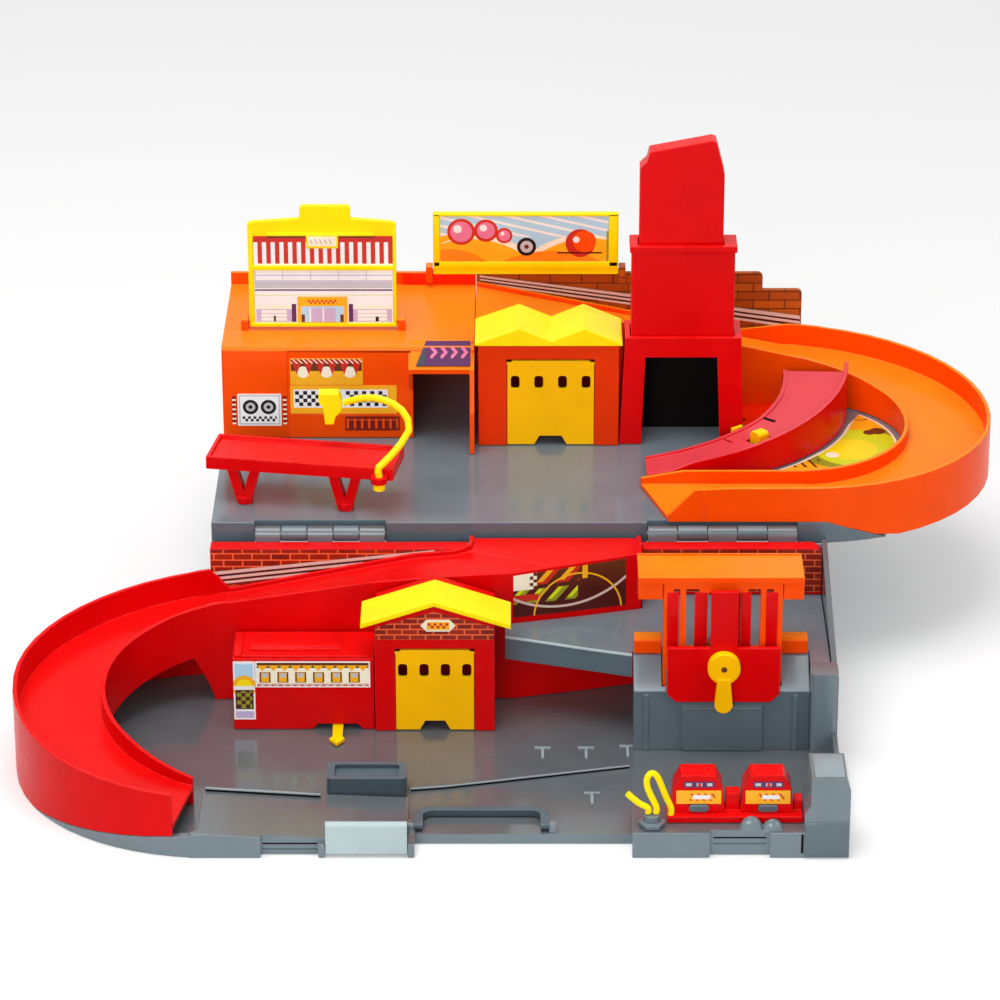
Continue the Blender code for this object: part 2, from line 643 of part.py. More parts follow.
def upper_platform():
    bm = bmesh.new()
    gap = PLATFORM_GAP
    ramp = [(MOUTH_RIGHT + gap, MOUTH_TURN - gap)] + [(x + gap, y - gap) for x, y in RAMP_TURN]
    back = SHAFT_Y[1] + CLEAR
    side = HALF - SIDE_WALL - CLEAR
    slope = (PLATFORM_NOSE + 0.092) / (PLATFORM_LEFT - 0.066)
    nose = [(PLATFORM_LEFT, PLATFORM_NOSE), (SHAFT_X[0] - CLEAR,
                                             PLATFORM_NOSE + slope * (SHAFT_X[0] - CLEAR - PLATFORM_LEFT))]
    outline = nose + [(SHAFT_X[0] - CLEAR, back), (SHAFT_X[1] + CLEAR, back),
                      (SHAFT_X[1] + CLEAR, COLUMN_Y[1] + CLEAR),
                      (side, COLUMN_Y[1] + CLEAR), (side, BRICK_BACK), (MOUTH_RIGHT + gap, BRICK_BACK)]
    outline += ramp + [(PLATFORM_LEFT, ramp[-1][1] - gap)]
    low = PLATFORM_TOP - PLATFORM_PLATE
    add_prism(bm, outline, "XY", low, PLATFORM_TOP)
    add = bmesh.new()
    skirt = [nose[0], nose[1], (nose[1][0], nose[1][1] + SKIN), (nose[0][0], nose[0][1] + SKIN)]
    add_prism(add, skirt, "XY", PLATFORM_TOP - PLATFORM_SKIRT, low + OVER)
    for x, y in PLATFORM_POSTS:
        add_prism(add, circle(x, y, POST_R, 12), "XY", ON_FRONT, low + OVER)
    cut = bmesh.new()
    x, y = FRONT_SCREWS["screw_front_platform"]
    add_prism(cut, circle(x, y, SCREW_R + CLEAR, 12), "XY", ON_FRONT - OVER, ON_FRONT + SCREW_LENGTH)
    make("upper_platform", bm, GREY, add, cut)


# The lift: a frame with a rack climbs when the crank turns its pinion
CRANK_X = 0.112
CRANK_Z = 0.060
PITCH_R = 0.008
TEETH = 12
TOOTH = 0.0014
ADDENDUM = 0.0009
DEDENDUM = 0.0013
SHAFT_R = 0.0025
PLATE_X = (0.081, 0.143)
PLATE_Z = (0.037, 0.070)
PLATE_THICK = 0.0032
PLATE_BACK = SHAFT_Y[0] - CLEAR
MAST_X = (0.1045, 0.1195)
MAST_TOP = 0.104
FRAME_Y = (-0.107, -0.099)
FRAME_LOW = 0.036
FRAME_HIGH = 0.105
GEAR_Y = (-0.098, -0.092)
DECK_X = (0.065, 0.1555)
DECK_TOP = 0.1085
GUIDE_TOP = 0.064
GUIDE_Y = (-0.090, -0.082)
SHOULDER_Y = -0.092         # where the slant at the housing's front meets its top
SHOULDER_Z = 0.042          # and where it meets its front
HOUSING_PANEL_X = (0.090, 0.134)
HOUSING_PANEL_TOP = 0.033
HOUSING_PANEL_PROUD = 0.0022
HOUSING_RIBS = (0.070, 0.152)
SLOT_LOW = 0.064
SLOTS = ((0.0840, 0.0880), (0.0910, 0.0985), (0.1250, 0.1320), (0.1350, 0.1390))


def lift_housing():
    bm = bmesh.new()
    add_box(bm, (SHAFT_X[0], SHAFT_Y[0], ON_FRONT), (SHAFT_X[1], SHAFT_Y[1], PLATFORM_TOP))
    add = bmesh.new()
    tab = [(CRANK_X - 0.008, PLATFORM_TOP - OVER), (CRANK_X - 0.008, CRANK_Z),
           (CRANK_X - 0.005, CRANK_Z + 0.006),
           (CRANK_X + 0.005, CRANK_Z + 0.006), (CRANK_X + 0.008, CRANK_Z),
           (CRANK_X + 0.008, PLATFORM_TOP - OVER)]
    add_prism(add, tab, "XZ", SHAFT_Y[1] - SHAFT_WALL, SHAFT_Y[1])
    add_box(add, (HOUSING_PANEL_X[0], SHAFT_Y[0] - HOUSING_PANEL_PROUD, ON_FRONT),
            (HOUSING_PANEL_X[1], SHAFT_Y[0] + OVER, HOUSING_PANEL_TOP))
    for x in HOUSING_RIBS:
        add_box(add, (x - 0.001, SHAFT_Y[0] - 0.0012, ON_FRONT),
                (x + 0.001, SHAFT_Y[0] + OVER, SHOULDER_Z - 0.002))
    item = place("lift_housing", bm)
    item.data.materials.append(material("lift_housing_finish", GREY))
    room = bmesh.new()
    add_box(room, (SHAFT_X[0] + SHAFT_WALL, SHAFT_Y[0] + SHAFT_WALL, ON_FRONT - OVER),
            (FRAME_X[0] - SHAFT_WALL, SHAFT_Y[1] - SHAFT_WALL, SHOULDER_Z - SHAFT_WALL))
    operate(item, "DIFFERENCE", room, "hollow")
    cut = bmesh.new()
    add_screw_boss(add, cut, *FRONT_SCREWS["screw_front_lift"], ON_FRONT)
    operate(item, "UNION", add, "joined")
    add_box(cut, (FRAME_X[0] - RUN, SHAFT_Y[0] + SHAFT_WALL, ON_FRONT - OVER),
            (FRAME_X[1] + RUN, SHAFT_Y[1] - SHAFT_WALL, PLATFORM_TOP))
    add_prism(cut, circle(CRANK_X, CRANK_Z, SHAFT_R + CLEAR, 14), "XZ", SHAFT_Y[1] - SHAFT_WALL - OVER,
              SHAFT_Y[1] + OVER)
    operate(item, "DIFFERENCE", cut, "cut")
    slant = (PLATFORM_TOP - SHOULDER_Z) / (SHOULDER_Y - SHAFT_Y[0])
    reach = 2 * OVER
    shoulder = [(SHAFT_Y[0] - reach, SHOULDER_Z - reach * slant),
                (SHOULDER_Y + reach, PLATFORM_TOP + reach * slant),
                (SHAFT_Y[0] - reach, PLATFORM_TOP + reach * slant)]
    sides = bmesh.new()
    add_prism(sides, shoulder, "YZ", SHAFT_X[0] - OVER, PLATE_X[0] - CLEAR)
    add_prism(sides, shoulder, "YZ", PLATE_X[1] + CLEAR, SHAFT_X[1] + OVER)
    operate(item, "DIFFERENCE", sides, "shoulders")


def lift_front_plate():
    bm = bmesh.new()
    chamfer = 0.005
    outline = [(PLATE_X[0], PLATE_Z[1]), (PLATE_X[0], PLATE_Z[0] + chamfer),
               (PLATE_X[0] + chamfer, PLATE_Z[0]),
               (PLATE_X[1] - chamfer, PLATE_Z[0]), (PLATE_X[1], PLATE_Z[0] + chamfer),
               (PLATE_X[1], PLATE_Z[1]),
               (MAST_X[1], PLATE_Z[1]), (MAST_X[1], MAST_TOP), (MAST_X[0], MAST_TOP),
               (MAST_X[0], PLATE_Z[1])]
    add_prism(bm, outline, "XZ", PLATE_BACK - PLATE_THICK, PLATE_BACK)
    cut = bmesh.new()
    add_prism(cut, circle(CRANK_X, CRANK_Z, SHAFT_R + RUN, 14), "XZ", PLATE_BACK - PLATE_THICK - OVER,
              PLATE_BACK + OVER)
    make("lift_front_plate", bm, RED, cut=cut)


def lift_guides():
    for name, low, high in (("lift_guide_left", SHAFT_X[0] + OVER / 2, FRAME_X[0] - RUN),
                            ("lift_guide_right", FRAME_X[1] + RUN, SHAFT_X[1] - OVER / 2)):
        bm = bmesh.new()
        ground = PLATFORM_TOP + CLEAR
        front, back = GUIDE_Y
        outline = [(front, ground), (front, GUIDE_TOP - 0.002), (front + 0.002, GUIDE_TOP),
                   (back, GUIDE_TOP), (back, ground)]
        add_prism(bm, outline, "YZ", low, high)
        make(name, bm, ORANGE)


def lift_moving():
    holes = [rounded(low, SLOT_LOW, high, FRAME_HIGH - 0.003, 0.0008, 2) for low, high in SLOTS]
    holes.append(rounded(CRANK_X - 0.009, CRANK_Z - 0.006, CRANK_X + 0.009, FRAME_HIGH - 0.005, 0.002, 2))
    outline = [(FRAME_X[0], FRAME_LOW), (FRAME_X[1], FRAME_LOW), (FRAME_X[1], FRAME_HIGH),
               (FRAME_X[0], FRAME_HIGH)]
    bm = bmesh.new()
    add_plate(bm, outline, holes, "XZ", *FRAME_Y)
    make("lift_frame", bm, ORANGE)

    deck_low = FRAME_HIGH + CLEAR
    bm = bmesh.new()
    add_box(bm, (DECK_X[0], -0.108, deck_low), (DECK_X[1], -0.076, DECK_TOP))
    add = bmesh.new()
    for low, high in ((DECK_X[0], FRAME_X[0] - RUN), (FRAME_X[1] + RUN, DECK_X[1])):
        add_box(add, (low, -0.106, 0.095), (high, -0.088, deck_low + OVER))
    for low, high in ((-0.108, -0.1064), (-0.0776, -0.076)):
        add_box(add, (DECK_X[0], low, DECK_TOP - OVER), (DECK_X[1], high, DECK_TOP + 0.0008))
    make("lift_platform", bm, ORANGE, add)

    pitch = 2 * pi * PITCH_R / TEETH
    line = CRANK_X + PITCH_R
    tip, root, half = line - ADDENDUM, line + DEDENDUM, TOOTH / 2
    outline = [(line + 0.006, FRAME_LOW), (line + 0.006, FRAME_HIGH), (root, FRAME_HIGH)]
    count = 9
    for k in reversed(range(-count, count)):
        z = CRANK_Z + (k + 0.5) * pitch
        if FRAME_LOW + pitch < z < FRAME_HIGH - pitch:
            outline += [(root, z + half * 1.5), (tip, z + half * 0.6), (tip, z - half * 0.6),
                        (root, z - half * 1.5)]
    outline.append((root, FRAME_LOW))
    bm = bmesh.new()
    add_prism(bm, outline, "XZ", FRAME_Y[1] + CLEAR, GEAR_Y[1])
    make("lift_rack", bm, RED)


def crank():
    axis = (CRANK_X, PLATE_BACK - PLATE_THICK - RUN, CRANK_Z)
    front = axis[1] - 0.0055
    bm = bmesh.new()
    add_prism(bm, circle(CRANK_X, CRANK_Z, 0.009, 28), "XZ", front, axis[1])
    add = bmesh.new()
    tip = CRANK_Z - 0.0215
    arm = [(CRANK_X - 0.0035, CRANK_Z - 0.006), (CRANK_X - 0.0048, tip + 0.001)]
    arm += [(CRANK_X - 0.0050 * cos(k * pi / 8), tip - 0.0050 * sin(k * pi / 8)) for k in range(9)]
    arm += [(CRANK_X + 0.0048, tip + 0.001), (CRANK_X + 0.0035, CRANK_Z - 0.006)]
    add_prism(add, arm, "XZ", front - 0.001, axis[1] - 0.001)
    cut = bmesh.new()
    add_prism(cut, circle(CRANK_X, CRANK_Z, SHAFT_R + CLEAR, 14), "XZ", front + 0.002, axis[1] + OVER)
    make("crank_handle", bm, YELLOW, add, cut, axis, smooth=True)

    bm = bmesh.new()
    add_prism(bm, circle(CRANK_X, CRANK_Z, SHAFT_R, 14), "XZ", front + 0.002 + CLEAR, SHAFT_Y[1] - CLEAR)
    make("crank_shaft", bm, STEEL, origin=axis, smooth=True)

    outline = []
    for k in range(TEETH):
        middle = 2 * pi * k / TEETH
        for radius, turn in ((PITCH_R - DEDENDUM, -0.62), (PITCH_R + ADDENDUM, -0.26),
                             (PITCH_R + ADDENDUM, 0.26),
                             (PITCH_R - DEDENDUM, 0.62)):
            angle = middle + turn * TOOTH / PITCH_R * 1.25
            outline.append((CRANK_X + radius * cos(angle), CRANK_Z + radius * sin(angle)))
    bm = bmesh.new()
    add_plate(bm, outline, [circle(CRANK_X, CRANK_Z, SHAFT_R + CLEAR, 14)], "XZ", *GEAR_Y)
    make("drive_pinion", bm, BROWN, origin=axis)


# Garages, their doors and the shops
DOOR_THICK = 0.0024
DOOR_LIP = 0.0020           # top of a door above its hinge axis
DOOR_SIDE = 0.0003
DOOR_PEG = 0.0009
DOOR_WINDOWS = 4


def door(name, x0, x1, low, high, face_y, notch_x):
    """A door that swings outwards on two pegs near its top."""
    axis_y = face_y + DOOR_THICK / 2
    axis_z = high - DOOR_LIP
    middle = (x0 + x1) / 2
    width = x1 - x0
    half = notch_x / 2
    bevel = 0.003
    outline = [(x0, low), (middle - half, low), (middle - half + 0.003, low + 0.0055),
               (middle + half - 0.003, low + 0.0055),
               (middle + half, low), (x1, low), (x1, high - bevel), (x1 - bevel, high),
               (x0 + bevel, high), (x0, high - bevel)]
    holes = []
    for k in range(DOOR_WINDOWS):
        x = middle + (k - (DOOR_WINDOWS - 1) / 2) * width * 0.272
        z = low + (high - low) * 0.745
        holes.append(rounded(x - 0.0026, z - 0.0042, x + 0.0026, z + 0.0042, 0.0018, 3))
    bm = bmesh.new()
    add_plate(bm, outline, holes, "XZ", face_y, face_y + DOOR_THICK)
    add = bmesh.new()
    for low_x, high_x in ((x0 - 0.0016, x0 + 0.002), (x1 - 0.002, x1 + 0.0016)):
        add_prism(add, circle(axis_y, axis_z, DOOR_PEG, 10), "YZ", low_x, high_x)
    make(name, bm, YELLOW, add, origin=(middle, axis_y, axis_z))


def add_door_seats(add, cut, x0, x1, high, face_y):
    """Thicker jambs beside a door's top, and the holes for its pegs."""
    axis_y = face_y + DOOR_THICK / 2
    axis_z = high - DOOR_LIP
    for low_x, high_x in ((x0 - DOOR_SIDE - 0.004, x0 - DOOR_SIDE),
                          (x1 + DOOR_SIDE, x1 + DOOR_SIDE + 0.004)):
        add_box(add, (low_x, face_y - 0.0004, axis_z - 0.005), (high_x, face_y + 0.0045, axis_z + 0.0046))
    add_prism(cut, circle(axis_y, axis_z, DOOR_PEG + CLEAR, 10), "YZ", x0 - 0.0024, x1 + 0.0024)


RED_GARAGE_X = (-0.0800, -0.0135)
RED_GARAGE_Y = (-0.090, -0.053)
RED_EAVE = 0.074
RED_PEAK = 0.085
RED_DOOR_X = (-0.0685, -0.0250)
RED_DOOR_TOP = 0.056
ROOF_X = (-0.0875, -0.0045)
ROOF_Y = (-0.095, -0.066)
ROOF_THICK = 0.0032
LINTEL = 0.0010


def red_garage():
    x0, x1 = RED_GARAGE_X
    y0, y1 = RED_GARAGE_Y
    peak_x = (x0 + x1) / 2
    bm = bmesh.new()
    add_prism(bm, [(x0, ON_FRONT), (x1, ON_FRONT), (x1, RED_EAVE), (peak_x, RED_PEAK), (x0, RED_EAVE)],
              "XZ", y0, y1)
    cut = bmesh.new()
    inside = [(x0 + SKIN, ON_FRONT - OVER), (x1 - SKIN, ON_FRONT - OVER), (x1 - SKIN, RED_EAVE - SKIN),
              (peak_x, RED_PEAK - SKIN), (x0 + SKIN, RED_EAVE - SKIN)]
    add_prism(cut, inside, "XZ", y0 + SKIN, y1 - SKIN)
    hollow_first = place("red_garage_shell_hollow", cut)
    hollow_first.hide_render = True
    hollow_first.display_type = "WIRE"

    item = place("red_garage_shell", bm)
    item.data.materials.append(material("red_garage_shell_finish", RED))
    step = item.modifiers.new("hollow", "BOOLEAN")
    step.operation = "DIFFERENCE"
    step.object = hollow_first
    step.solver = "EXACT"
    add = bmesh.new()
    opening = bmesh.new()
    face_y = y0 + 0.0006
    add_door_seats(add, opening, *RED_DOOR_X, RED_DOOR_TOP, face_y)
    add_screw_boss(add, opening, *FRONT_SCREWS["screw_front_garage"], ON_FRONT)
    x, y = FRONT_SCREWS["screw_front_garage"]
    add_box(add, (x - SKIN / 2, y + BOSS_R - OVER, ON_FRONT), (x + SKIN / 2, y1 - SKIN + OVER,
                                                               ON_FRONT + BOSS_HEIGHT))
    operate(item, "UNION", add, "joined")
    add_box(opening, (RED_DOOR_X[0] - DOOR_SIDE, y0 - OVER, ON_FRONT - OVER),
            (RED_DOOR_X[1] + DOOR_SIDE, y0 + SKIN + OVER, RED_DOOR_TOP + LINTEL))
    operate(item, "DIFFERENCE", opening, "cut")
    door("red_garage_door", *RED_DOOR_X, ON_FRONT + CLEAR, RED_DOOR_TOP, face_y, 0.017)

    slope = (RED_PEAK - RED_EAVE) / (x1 - peak_x)
    under = RED_PEAK + CLEAR
    drop0 = slope * (peak_x - ROOF_X[0])
    drop1 = slope * (ROOF_X[1] - peak_x)
    roof = bmesh.new()
    add_prism(roof, [(ROOF_X[0], under - drop0), (peak_x, under), (ROOF_X[1], under - drop1),
                     (ROOF_X[1], under - drop1 + ROOF_THICK), (peak_x, under + ROOF_THICK),
                     (ROOF_X[0], under - drop0 + ROOF_THICK)], "XZ", *ROOF_Y)
    make("gable_roof", roof, YELLOW)


def add_screw_boss(add, cut, x, y, low):
    add_prism(add, circle(x, y, BOSS_R, 14), "XY", low, low + BOSS_HEIGHT)
    add_prism(cut, circle(x, y, SCREW_R + CLEAR, 12), "XY", low - OVER,
              low + SCREW_LENGTH - FRONT_PLATE + CLEAR)


SHOP_X = (-0.159, -0.0805)
SHOP_Y = (-0.088, -0.053)
SHOP_TOP = 0.050
SHOP_NOTCH = (-0.112, -0.090)
LEVER_LOW = 0.0066
LEVER_HIGH = 0.0090


def hollow_box(name, finish, low, high, add=None, cut=None, wall=SKIN):
    """A box-shaped shell that is open below."""
    bm = bmesh.new()
    add_box(bm, low, high)
    inside = bmesh.new()
    add_box(inside, (low[0] + wall, low[1] + wall, low[2] - OVER),
            (high[0] - wall, high[1] - wall, high[2] - wall))
    item = place(name, bm)
    item.data.materials.append(material(name + "_finish", finish))
    operate(item, "DIFFERENCE", inside, "hollow")
    if add:
        operate(item, "UNION", add, "joined")
    if cut:
        operate(item, "DIFFERENCE", cut, "cut")
    return item


def snack_shop():
    add = bmesh.new()
    cut = bmesh.new()
    x, y = FRONT_SCREWS["screw_front_shop"]
    add_screw_boss(add, cut, x, y, ON_FRONT)
    add_box(add, (x - SKIN / 2, y + BOSS_R - OVER, ON_FRONT), (x + SKIN / 2, SHOP_Y[1] - SKIN + OVER,
                                                               ON_FRONT + BOSS_HEIGHT))
    add_prism(add, circle(*LEVER_PIVOT, 0.0036, 12), "XY", LEVER_HIGH + RUN, SHOP_TOP - SKIN + OVER)
    add_prism(cut, circle(*LEVER_PIVOT, LEVER_PEG_R + CLEAR, 12), "XY", LEVER_HIGH, LEVER_PEG_TOP + CLEAR)
    notch = [(SHOP_NOTCH[0] - 0.004, ON_FRONT - OVER), (SHOP_NOTCH[1] + 0.004, ON_FRONT - OVER),
             (SHOP_NOTCH[1], LEVER_HIGH + 0.0006), (SHOP_NOTCH[0], LEVER_HIGH + 0.0006)]
    add_prism(cut, notch, "XZ", SHOP_Y[0] - OVER, SHOP_Y[0] + SKIN + OVER)
    hollow_box("snack_shop", RED, (SHOP_X[0], SHOP_Y[0], ON_FRONT), (SHOP_X[1], SHOP_Y[1], SHOP_TOP), add,
               cut)

    px, py = LEVER_PIVOT
    bm = bmesh.new()
    outline = [(px - 0.0030, py), (px - 0.0030, py - 0.022), (px - 0.0045, py - 0.0235), (px, py - 0.030),
               (px + 0.0045, py - 0.0235), (px + 0.0030, py - 0.022), (px + 0.0030, py)]
    outline += [(px + 0.0036 * cos(k * pi / 6), py + 0.0036 * sin(k * pi / 6) + 0.0005) for k in range(7)]
    add_plate(bm, outline, [circle(px, py, LEVER_PEG_R + RUN, 12)], "XY", LEVER_LOW, LEVER_HIGH)
    make("shop_lever", bm, YELLOW, origin=(px, py, LEVER_LOW))


# Fuel pumps
ISLAND_X = (0.0785, 0.1506)
ISLAND_Y = (-0.214, -0.196)
ISLAND_TOP = 0.019
PUMP_Y = (-0.209, -0.195)
PUMP_TOP = 0.041
PUMPS = {"fuel_pump_left": (0.0805, 0.1095), "fuel_pump_right": (0.1175, 0.1460)}
BRIDGE_Y = (-0.206, -0.198)
BRIDGE_TOPS = (0.029, 0.025)  # the blocks between and beside the pumps
STAND = (0.0705, -0.2162)
STAND_TOP = 0.022
HOSE_R = 0.00175


def fuel_pumps():
    bm = bmesh.new()
    add_box(bm, (ISLAND_X[0], ISLAND_Y[0], PLINTH_TOP + CLEAR), (ISLAND_X[1], ISLAND_Y[1], ISLAND_TOP))
    add = bmesh.new()
    front, back = BRIDGE_Y
    add_box(add, (PUMPS["fuel_pump_left"][1] + CLEAR, front, ISLAND_TOP - OVER),
            (PUMPS["fuel_pump_right"][0] - CLEAR, back, BRIDGE_TOPS[0]))
    add_box(add, (PUMPS["fuel_pump_right"][1] + CLEAR, front, ISLAND_TOP - OVER),
            (ISLAND_X[1], back, BRIDGE_TOPS[1]))
    make("pump_island", bm, RED, add)
    low = ISLAND_TOP + CLEAR
    for name, (x0, x1) in PUMPS.items():
        bm = bmesh.new()
        outline = [(x0, low), (x1, low), (x1 - 0.0015, PUMP_TOP - 0.007), (x1 - 0.0055, PUMP_TOP),
                   (x0 + 0.0055, PUMP_TOP), (x0 + 0.0015, PUMP_TOP - 0.007)]
        add_prism(bm, outline, "XZ", *PUMP_Y)
        cut = bmesh.new()
        add_box(cut, (x0 + 2 * SKIN, PUMP_Y[0] + SKIN, low - OVER),
                (x1 - 2 * SKIN, PUMP_Y[1] - SKIN, PUMP_TOP - 0.009))
        middle = (x0 + x1) / 2
        tray = [(middle - 0.006, 0.0255), (middle - 0.004, 0.0210), (middle + 0.004, 0.0210),
                (middle + 0.006, 0.0255)]
        add_prism(cut, tray, "XZ", PUMP_Y[0] - OVER, PUMP_Y[0] + OVER)
        make(name, bm, RED, cut=cut)

    x, y = STAND
    bm = bmesh.new()
    add_prism(bm, circle(x, y, 0.0074, 6), "XY", PLINTH_TOP + CLEAR, 0.018)
    add = bmesh.new()
    add_prism(add, circle(x, y, 0.0046, 16), "XY", 0.018 - OVER, STAND_TOP)
    make("hose_stand", bm, GREY, add)

    top = STAND_TOP + 2 * CLEAR
    foot = v3(0.0806, -0.2115, ISLAND_TOP + CLEAR)
    tall = [v3(x + 0.0021, y, top), v3(x + 0.0021, y, top + 0.004), v3(0.0683, -0.2150, 0.036),
            v3(0.0676, -0.2142, 0.0420),
            v3(0.0700, -0.2134, 0.0450), v3(0.0734, -0.2127, 0.042), v3(0.0775, -0.2120, 0.031),
            v3(foot.x, foot.y, foot.z + 0.004), foot]
    short = [v3(x - 0.0021, y, top), v3(x - 0.0021, y, top + 0.003), v3(0.0632, -0.2158, 0.0285),
             v3(0.0572, -0.2155, 0.0340)]
    hose("fuel_hose_tall", tall, HOSE_R, 3)
    hose("fuel_hose_short", short, HOSE_R, 3)


def v3(x, y, z):
    return Vector((x, y, z))


def hose(name, points, radius, steps, origin=(0, 0, 0)):
    bm = bmesh.new()
    add_tube(bm, smooth_route(points, steps), radius)
    make(name, bm, YELLOW, origin=origin, smooth=True)


# Carry handle and case latch
def carry_handle():
    y, z = HANDLE_PIVOT
    x0, x1 = HANDLE_X
    width, corner = HANDLE_WIDTH, HANDLE_CORNER
    far = y + HANDLE_REACH

    def bend(centre, radius, start, way):
        turns = [start + way * k * pi / 8 for k in range(5)]
        return [(centre + radius * cos(turn), far - corner + radius * sin(turn)) for turn in turns]

    outline = [(x0, y)] + bend(x0 + corner, corner, pi, -1) + bend(x1 - corner, corner, pi / 2, -1)
    outline += [(x1, y), (x1 - width, y)]
    outline += bend(x1 - corner, corner - width, 0, 1) + bend(x0 + corner, corner - width, pi / 2, 1)
    outline.append((x0 + width, y))
    bm = bmesh.new()
    add_prism(bm, outline, "XY", z - HANDLE_R, z + HANDLE_R)
    add = bmesh.new()
    for low in (x0, x1 - width):
        add_prism(add, circle(y, z, HANDLE_R, 16), "YZ", low, low + width)
    cut = bmesh.new()
    add_prism(cut, circle(y, z, PEG_R + CLEAR, 12), "YZ", x0 - OVER, x0 + PEG_ROOM)
    add_prism(cut, circle(y, z, PEG_R + CLEAR, 12), "YZ", x1 - PEG_ROOM, x1 + OVER)
    make("carry_handle", bm, GREY, add, cut, (0, y, z))


def case_latch():
    y, z = LATCH_PIVOT
    x0, x1 = LATCH_X[0] + RUN, LATCH_X[1] - RUN
    top = LATCH_TOP
    outline = [(y + LATCH_R, z), (y + LATCH_R, top - 0.002), (y + LATCH_R - 0.001, top),
               (y - LATCH_R + 0.001, top),
               (y - LATCH_R, top - 0.002), (y - LATCH_R, z)]
    outline += [(y - LATCH_R * cos(k * pi / 6), z - LATCH_R * sin(k * pi / 6)) for k in range(1, 6)]
    bm = bmesh.new()
    add_prism(bm, outline, "YZ", x0, x1)
    cut = bmesh.new()
    for low, high in ((x0 - OVER, x0 + 0.0035), (x1 - 0.0035, x1 + OVER)):
        add_prism(cut, circle(y, z, LATCH_R * 0.5 + CLEAR, 10), "YZ", low, high)
    make("case_latch", bm, GREY, cut=cut, origin=(0, y, z))


def hinge_pins():
    for name, (low, high) in zip(("hinge_pin_left", "hinge_pin_right"), HINGE_SPANS):
        bm = bmesh.new()
        add_prism(bm, circle(0, HINGE_Z, PIN_R, 14), "YZ", low, high)
        make(name, bm, STEEL, smooth=True)


# Rear tray
LEG_X = (-0.120, 0.120)
LEG_WIDTH = 0.030
LEG_THICK = 0.005
LEG_PIVOT = (0.205, 0.0835)
LEG_PEG_R = 0.0015
BENCH_PIVOT = (-0.1573, 0.0300)
BENCH_PEG_R = 0.0022


def rear_tray():
    bm = bmesh.new()
    arc = tray_arc(1, REAR_CY, REAR_BACK_REACH, PLATE_INSET, HALF)
    outline = [(-HALF, SEAM), (HALF, SEAM)] + arc[::-1] + [(HALF, REAR_EDGE), (-HALF, REAR_EDGE)]
    add_prism(bm, outline, "XY", REAR_LOW, REAR_FLOOR)
    room = bmesh.new()
    for low, high in hinge_spans(True):
        add_prism(room, circle(0, HINGE_Z, KNUCKLE_R + 2 * CLEAR, 16), "YZ", low - CLEAR, high + CLEAR)
    for low, high in HINGE_SPANS:
        add_box(room, (low - CLEAR, 0, REAR_LOW - OVER), (high + CLEAR, KNUCKLE_R + 2 * CLEAR,
                                                          REAR_FLOOR + OVER))
    edge = KNUCKLE_R + 2 * OVER + TRAY_WALL
    add_box(room, (-HALF + TRAY_WALL, edge, REAR_LOW - OVER),
            (HALF - TRAY_WALL, REAR_EDGE - TRAY_WALL, REAR_FLOOR - REAR_PLATE))
    item = place("rear_tray", bm)
    item.data.materials.append(material("rear_tray_finish", GREY))
    operate(item, "DIFFERENCE", room, "hollow")

    add = bmesh.new()
    add_knuckles(add, False)
    add_rings(add, tail_rings(1, REAR_CY, REAR_BACK_REACH, REAR_LOW, REAR_FLOOR))
    under = REAR_FLOOR - REAR_PLATE
    y, z = LEG_PIVOT
    for x in LEG_X:
        for away in (-1, 1):
            inner = x + away * (LEG_WIDTH / 2 + RUN)
            low, high = sorted((inner, inner + away * 0.004))
            add_box(add, (low, y - 0.005, REAR_LOW + OVER), (high, y + 0.005, under + OVER))
            low, high = sorted((inner + away * OVER, inner - away * 0.004))
            add_prism(add, circle(y, z, LEG_PEG_R, 12), "YZ", low, high)
        stop = y + LEG_THICK / 2 + CLEAR
        add_box(add, (x - LEG_WIDTH / 2 - OVER, stop, REAR_LOW),
                (x + LEG_WIDTH / 2 + OVER, stop + 0.003, under + OVER))
    add_prism(add, circle(*BENCH_PIVOT, BENCH_PEG_R, 14), "XY", REAR_FLOOR - OVER, REAR_FLOOR + BENCH_PEG)
    operate(item, "UNION", add, "joined")

    cut = bmesh.new()
    add_knuckle_cuts(cut, False)
    for x, y in REAR_SCREWS.values():
        add_prism(cut, circle(x, y, SCREW_R + CLEAR, 12), "XY", under - OVER, REAR_FLOOR + OVER)
    operate(item, "DIFFERENCE", cut, "cut")


# Raised deck at the left with the workshop front, and the sign and billboard on it
DECK_BODY_X = (-0.175, -0.0263)
DECK_BODY_Y = (0.1215, 0.2245)
DECK_LEVEL = 0.150
DECK_RIM = 0.158
DECK_DOOR_X = (-0.0625, -0.0290)
DECK_DOOR_TOP = 0.1385
DECK_BEVEL = 0.002
PORCH_Y = (0.097, 0.108)    # front of the doorway's side wall and of its slanted roof
SIGN_X = (-0.160, -0.072)
SIGN_PIVOT = (0.1515, 0.1540)
SIGN_THICK = 0.004
SIGN_TOP = 0.219
SIGN_BLOCK_X = (-0.129, -0.099)
SIGN_BLOCK_TOP = 0.228
BOARD_X = (-0.052, 0.060)
BOARD_TOP = 0.198
BOARD_PIVOT = (0.2190, 0.1605)
BOARD_THICK = 0.004
WALL_THICK = 0.003
SIGN_PEG = 0.0010


def add_ear(bm, edge, away):
    """An ear beside the billboard on the rear rim, with the peg that the board turns on."""
    y, z = BOARD_PIVOT
    low, high = sorted((edge + away * RUN, edge + away * 0.0045))
    add_box(bm, (low, y - 0.0025, z - 0.0075), (high, REAR_EDGE, z + 0.0030))
    low, high = sorted((edge + away * OVER, edge - away * 0.003))
    add_prism(bm, circle(y, z, SIGN_PEG, 10), "YZ", low, high)


